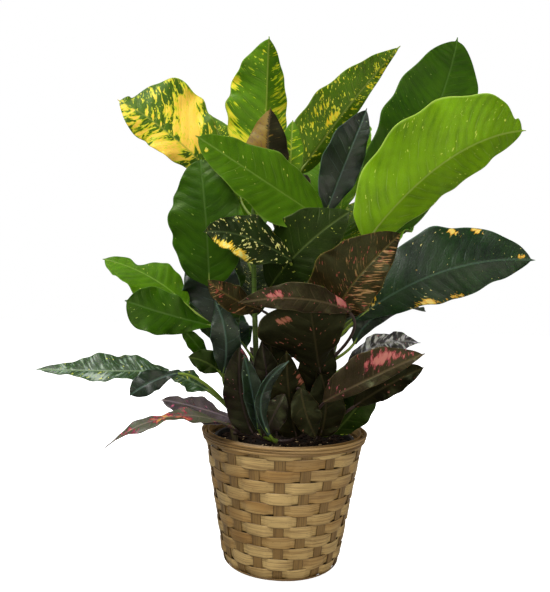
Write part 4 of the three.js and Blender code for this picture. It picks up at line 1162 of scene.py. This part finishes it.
# %% Turned shapes
def turned(profile, steps, height=None):
    """A turned skin: each [radius, height] of the profile becomes a ring round the Z axis."""
    radius, z = np.asarray(profile, float).T
    turn = 2 * np.pi * np.arange(steps) / steps
    x, y = radius[:, None] * np.cos(turn), radius[:, None] * np.sin(turn)
    level = z[:, None] + 0 * x
    if height is not None:
        level = level + height(x, y, level)
    return skin(np.stack([x, y, level], axis=-1))


# %% The pot
POT_FLOOR, POT_HEIGHT, POT_FOOT, POT_TOP, POT_WALL, POT_LIP = 3.3, 130, 54, 76, 1.4, 2.2
BEAD, LIP_DEPTH = 0.7, 8  # the radius of the lip's rounded edge, and how far down the lip hangs
rim = POT_FLOOR + POT_HEIGHT


def pot_radius(z):
    """Outside radius of the pot's wall at a height."""
    return POT_FOOT + (POT_TOP - POT_FOOT) * (z - POT_FLOOR) / POT_HEIGHT


under_lip = pot_radius(rim - LIP_DEPTH)
bead = [
    (POT_TOP + POT_LIP - BEAD + BEAD * np.sin(a), rim - BEAD + BEAD * np.cos(a))
    for a in np.linspace(np.pi / 2, 0, 6)
]
pot_profile = [
    # out under the floor, round the foot, up the wall, out round the lip, down inside, and in
    (0.5, POT_FLOOR), (POT_FOOT - 1.5, POT_FLOOR),
    (POT_FOOT - 0.4, POT_FLOOR + 0.4), (POT_FOOT, POT_FLOOR + 1.5),
    *[(pot_radius(z), z) for z in np.linspace(POT_FLOOR + 2, rim - 8.2, 24)],
    (under_lip, rim - LIP_DEPTH), (under_lip + POT_LIP - 0.3, rim - LIP_DEPTH),
    (under_lip + POT_LIP, rim - 7.6), *bead,
    (POT_TOP - POT_WALL + 0.3, rim), (POT_TOP - POT_WALL, rim - 0.3),
    *[(pot_radius(z) - POT_WALL, z) for z in np.linspace(rim - 1, POT_FLOOR + POT_WALL + 1, 24)],
    (POT_FOOT - POT_WALL - 0.6, POT_FLOOR + POT_WALL), (0.5, POT_FLOOR + POT_WALL),
]
plastic, tree, shader = new_material("black polypropylene, moulded", ior=1.49)
place = add(tree, "TexCoord", out="Object")
scuffs = add(tree, "TexNoise", {"Vector": place, "Scale": 180.0, "Detail": 5.0}, 0)
dust = add(tree, "MapRange", {0: scuffs, 1: 0.5, 2: 0.8, 3: 0.0, 4: 0.5}, 0)
dusty = add(tree, "Mix", {0: dust, 6: colour("#171615"), 7: colour("#4a4036")}, 2, **RGBA)
tree.links.new(dusty, shader.inputs["Base Color"])
dull = add(tree, "MapRange", {0: scuffs, 1: 0.3, 2: 0.7, 3: 0.32, 4: 0.55}, 0)
tree.links.new(dull, shader.inputs["Roughness"])
grain = add(tree, "Bump", {"Strength": 0.3, "Distance": 0.0002, "Height": scuffs}, 0)
tree.links.new(grain, shader.inputs["Normal"])
make_piece("nursery_pot_shell", [turned(pot_profile, 160)], [plastic], "nursery_pot")
print(f"pot {2 * (POT_TOP + POT_LIP):.0f} mm over its lip, rim at {rim:.1f} mm")


# %% Soil and the bits on it
FLAT_TO, FALLS_TO = 40, 0.7  # the crown falls to 0.7 of its height by 40 mm out


def soil_level(r):
    """Height of the soil at a distance from the middle: a low crown, level with the wall."""
    return SOIL_TOP + SOIL_CROWN * np.interp(r, (0, FLAT_TO, soil_edge), (1, FALLS_TO, 0))


def crumbs(x, y, level):
    """Lumps of three sizes on the top of the soil, none on its sides."""
    top = np.clip((level - SOIL_TOP + 1) * 2, 0, 1)
    lumps = 1.5 * rough(x, y, 26, 1) + 0.9 * rough(x, y, 9, 2) + 0.7 * rough(x, y, 3.6, 3)
    return top * lumps * 0.9


SOIL_GAP = 0.3
soil_floor = POT_FLOOR + POT_WALL + SOIL_GAP
soil_edge = pot_radius(SOIL_TOP) - POT_WALL - SOIL_GAP
soil_profile = [
    *[(r, soil_level(r)) for r in np.linspace(0.5, soil_edge - 0.5, 70)],
    (soil_edge, SOIL_TOP - 1.5),
    *[(pot_radius(z) - POT_WALL - SOIL_GAP, z) for z in np.linspace(SOIL_TOP - 4, soil_floor, 8)],
    (0.5, soil_floor),
]
peat, tree, shader = new_material("damp peat and bark soil, darkened as painted shade", ior=1.4, specular_ior_level=0.2)
place = add(tree, "TexCoord", out="Object")
crumbly = {"Vector": place, "Scale": 240.0, "Detail": 6.0, "Roughness": 0.7}
lumps = add(tree, "TexNoise", crumbly, 0)
patchy = add(tree, "MapRange", {0: lumps, 1: 0.35, 2: 0.7}, 0)
earth = add(tree, "ValToRGB", {0: patchy})
# painted shade: tones darker than peat's own, for the shadow under the leaves and the rim
set_stops(earth, [(0.0, colour("#080503")), (0.5, colour("#140d08")), (1.0, colour("#281b11"))])
tree.links.new(earth.outputs[0], shader.inputs["Base Color"])
wet = add(tree, "MapRange", {0: lumps, 1: 0.3, 2: 0.7, 3: 0.65, 4: 0.95}, 0)
tree.links.new(wet, shader.inputs["Roughness"])
ground = add(tree, "Bump", {"Strength": 0.9, "Distance": 0.0012, "Height": lumps}, 0)
tree.links.new(ground, shader.inputs["Normal"])
make_piece("potting_mix", [turned(soil_profile, 200, crumbs)], [peat], "potting_soil")


# %% Bark chips and dry litter
def chips(count, seed, sizes, lift):
    """Flat, uneven chips strewn on the soil: each is a squashed ball of 6 x 5 points, its radius
    varied by a seeded draw, turned about Z and tipped. sizes are the least and the greatest
    half length, and lift is how far a chip's middle lies above the soil."""
    pick = np.random.default_rng(seed)
    skins = []
    for _ in range(count):
        reach, bearing = soil_edge * np.sqrt(pick.uniform(0.01, 0.94)), pick.uniform(0, 2 * np.pi)
        x, y = reach * np.cos(bearing), reach * np.sin(bearing)
        a = np.linspace(0.35, np.pi - 0.35, 5)[:, None]
        b = 2 * np.pi * np.arange(6) / 6
        ball = np.stack([np.sin(a) * np.cos(b), np.sin(a) * np.sin(b), np.cos(a) + 0 * b], axis=-1)
        ball = ball * pick.uniform(0.75, 1.15, ball.shape[:2])[..., None]
        ball = ball * pick.uniform(*sizes)
        ball = ball * np.array([1, pick.uniform(0.35, 0.8), pick.uniform(0.2, 0.45)])
        yaw, tip = pick.uniform(0, 2 * np.pi), pick.uniform(-0.4, 0.4)
        turn = np.array(Matrix.Rotation(yaw, 3, "Z") @ Matrix.Rotation(tip, 3, "X"))
        level = soil_level(reach) + lift
        level = level + float(crumbs(np.array([x]), np.array([y]), np.array([level]))[0])
        skins.append(skin(ball @ turn.T + (x, y, level)))
    return skins


def bark(name, dark, light, grain):
    """Fibrous bark or dry litter: tones from dark to light by noise, grain being its scale."""
    material, tree, shader = new_material(name, roughness=0.85, specular_ior_level=0.2)
    place = add(tree, "TexCoord", out="Object")
    tones = add(tree, "TexNoise", {"Vector": place, "Scale": grain, "Detail": 5.0}, 0)
    tone = add(tree, "MapRange", {0: tones, 1: 0.3, 2: 0.7}, 0)
    shade = add(tree, "Mix", {0: tone, 6: colour(dark), 7: colour(light)}, 2, **RGBA)
    tree.links.new(shade, shader.inputs["Base Color"])
    bump = add(tree, "Bump", {"Strength": 0.7, "Distance": 0.0005, "Height": tones}, 0)
    tree.links.new(bump, shader.inputs["Normal"])
    return material


# painted shade: the chips' tones are darker than bark's own, for the same shadow
bark_finish = bark("pine bark chips", "#120a06", "#2e1e12", 300.0)
litter_finish = bark("dry pale litter", "#8a6e48", "#cbb48a", 500.0)
make_piece("bark_chips", chips(260, 5, (2.2, 5.2), 0.6), [bark_finish], "potting_soil")
make_piece("pale_litter", chips(60, 6, (1.2, 3.0), 1.0), [litter_finish], "potting_soil")
print("soil and litter laid")

# %% [markdown]
# ## Setting and light
# The plant stands on a plain pale floor, with nothing else round it. A leaf is a dark mirror
# under its wax, so in a bright room every leaf would turn grey: the room is kept dark, and only
# the ground and the backdrop look white to the eye. Three soft lamps do the work. The key hangs
# high on the left. The window stands behind, so that thin leaves shine through, and leaves no
# glare on the wax. A broad warm fill in front keeps the basket bright.

# %% Floor, world and lamps
FLOOR_HALF = 6
FLOOR_GLOW, ROOM_LOW, ROOM_HIGH = 0.90, 0.10, 0.28
corners = [(x * FLOOR_HALF, y * FLOOR_HALF, 0) for x, y in ((-1, -1), (1, -1), (1, 1), (-1, 1))]
mesh = bpy.data.meshes.new("floor")
mesh.from_pydata(corners, [], [(0, 1, 2, 3)])
floor = bpy.data.objects.new("floor", mesh)
bpy.context.collection.objects.link(floor)
ground, tree, shader = new_material("white paper ground", roughness=0.9)
mesh.materials.append(ground)
seen = add(tree, "LightPath", out="Is Camera Ray")
paper = add(tree, "Mix", {0: seen, 6: colour("#8c8a86"), 7: colour("#ffffff")}, 2, **RGBA)
tree.links.new(paper, shader.inputs["Base Color"])
glow = add(tree, "Math", {0: seen, 1: FLOOR_GLOW}, 0, **TIMES)
shader.inputs["Emission Color"].default_value = (1, 1, 1, 1)
tree.links.new(glow, shader.inputs["Emission Strength"])

world = bpy.data.worlds.new("studio")
world.use_nodes = True
tree = world.node_tree
way = add(tree, "TexCoord", out="Generated")
height = add(tree, "SeparateXYZ", {0: way}, 2)
level = add(tree, "MapRange", {0: height, 1: -0.2, 2: 1.0, 3: ROOM_LOW, 4: ROOM_HIGH}, 0)
seen = add(tree, "LightPath", out="Is Camera Ray")
strength = add(tree, "Mix", {0: seen, 2: level, 3: 1.0}, 0, data_type="FLOAT")
backdrop = tree.nodes["Background"]
backdrop.inputs[0].default_value = (1, 1, 1, 1)
tree.links.new(strength, backdrop.inputs[1])
bpy.context.scene.world = world
bpy.context.scene.view_settings.view_transform = "Standard"


def soft_lamp(name, place, target, size, power, tint=(1, 1, 1)):
    """A square lamp at a place, turned to face a target. Returns the lamp."""
    lamp = bpy.data.lights.new(name, "AREA")
    lamp.size, lamp.energy, lamp.color = size, power, tint
    made = bpy.data.objects.new(name, lamp)
    made.location = place
    aim = Matrix.Translation(target).translation - Matrix.Translation(place).translation
    made.rotation_euler = aim.to_track_quat("-Z", "Y").to_euler()
    bpy.context.collection.objects.link(made)
    return made


# where each stands and what it is aimed at, in metres, then its width and its power in watts
soft_lamp("key", (-0.8, -0.6, 1.5), (0, 0, 0.25), 0.8, 26)
window = soft_lamp("window", (0.5, 0.7, 1.6), (0, 0, 0.4), 1.0, 26)
window.visible_glossy = False
soft_lamp("fill", (0.5, -1.7, 0.35), (0, 0, 0.20), 1.6, 22, (1, 0.95, 0.85))
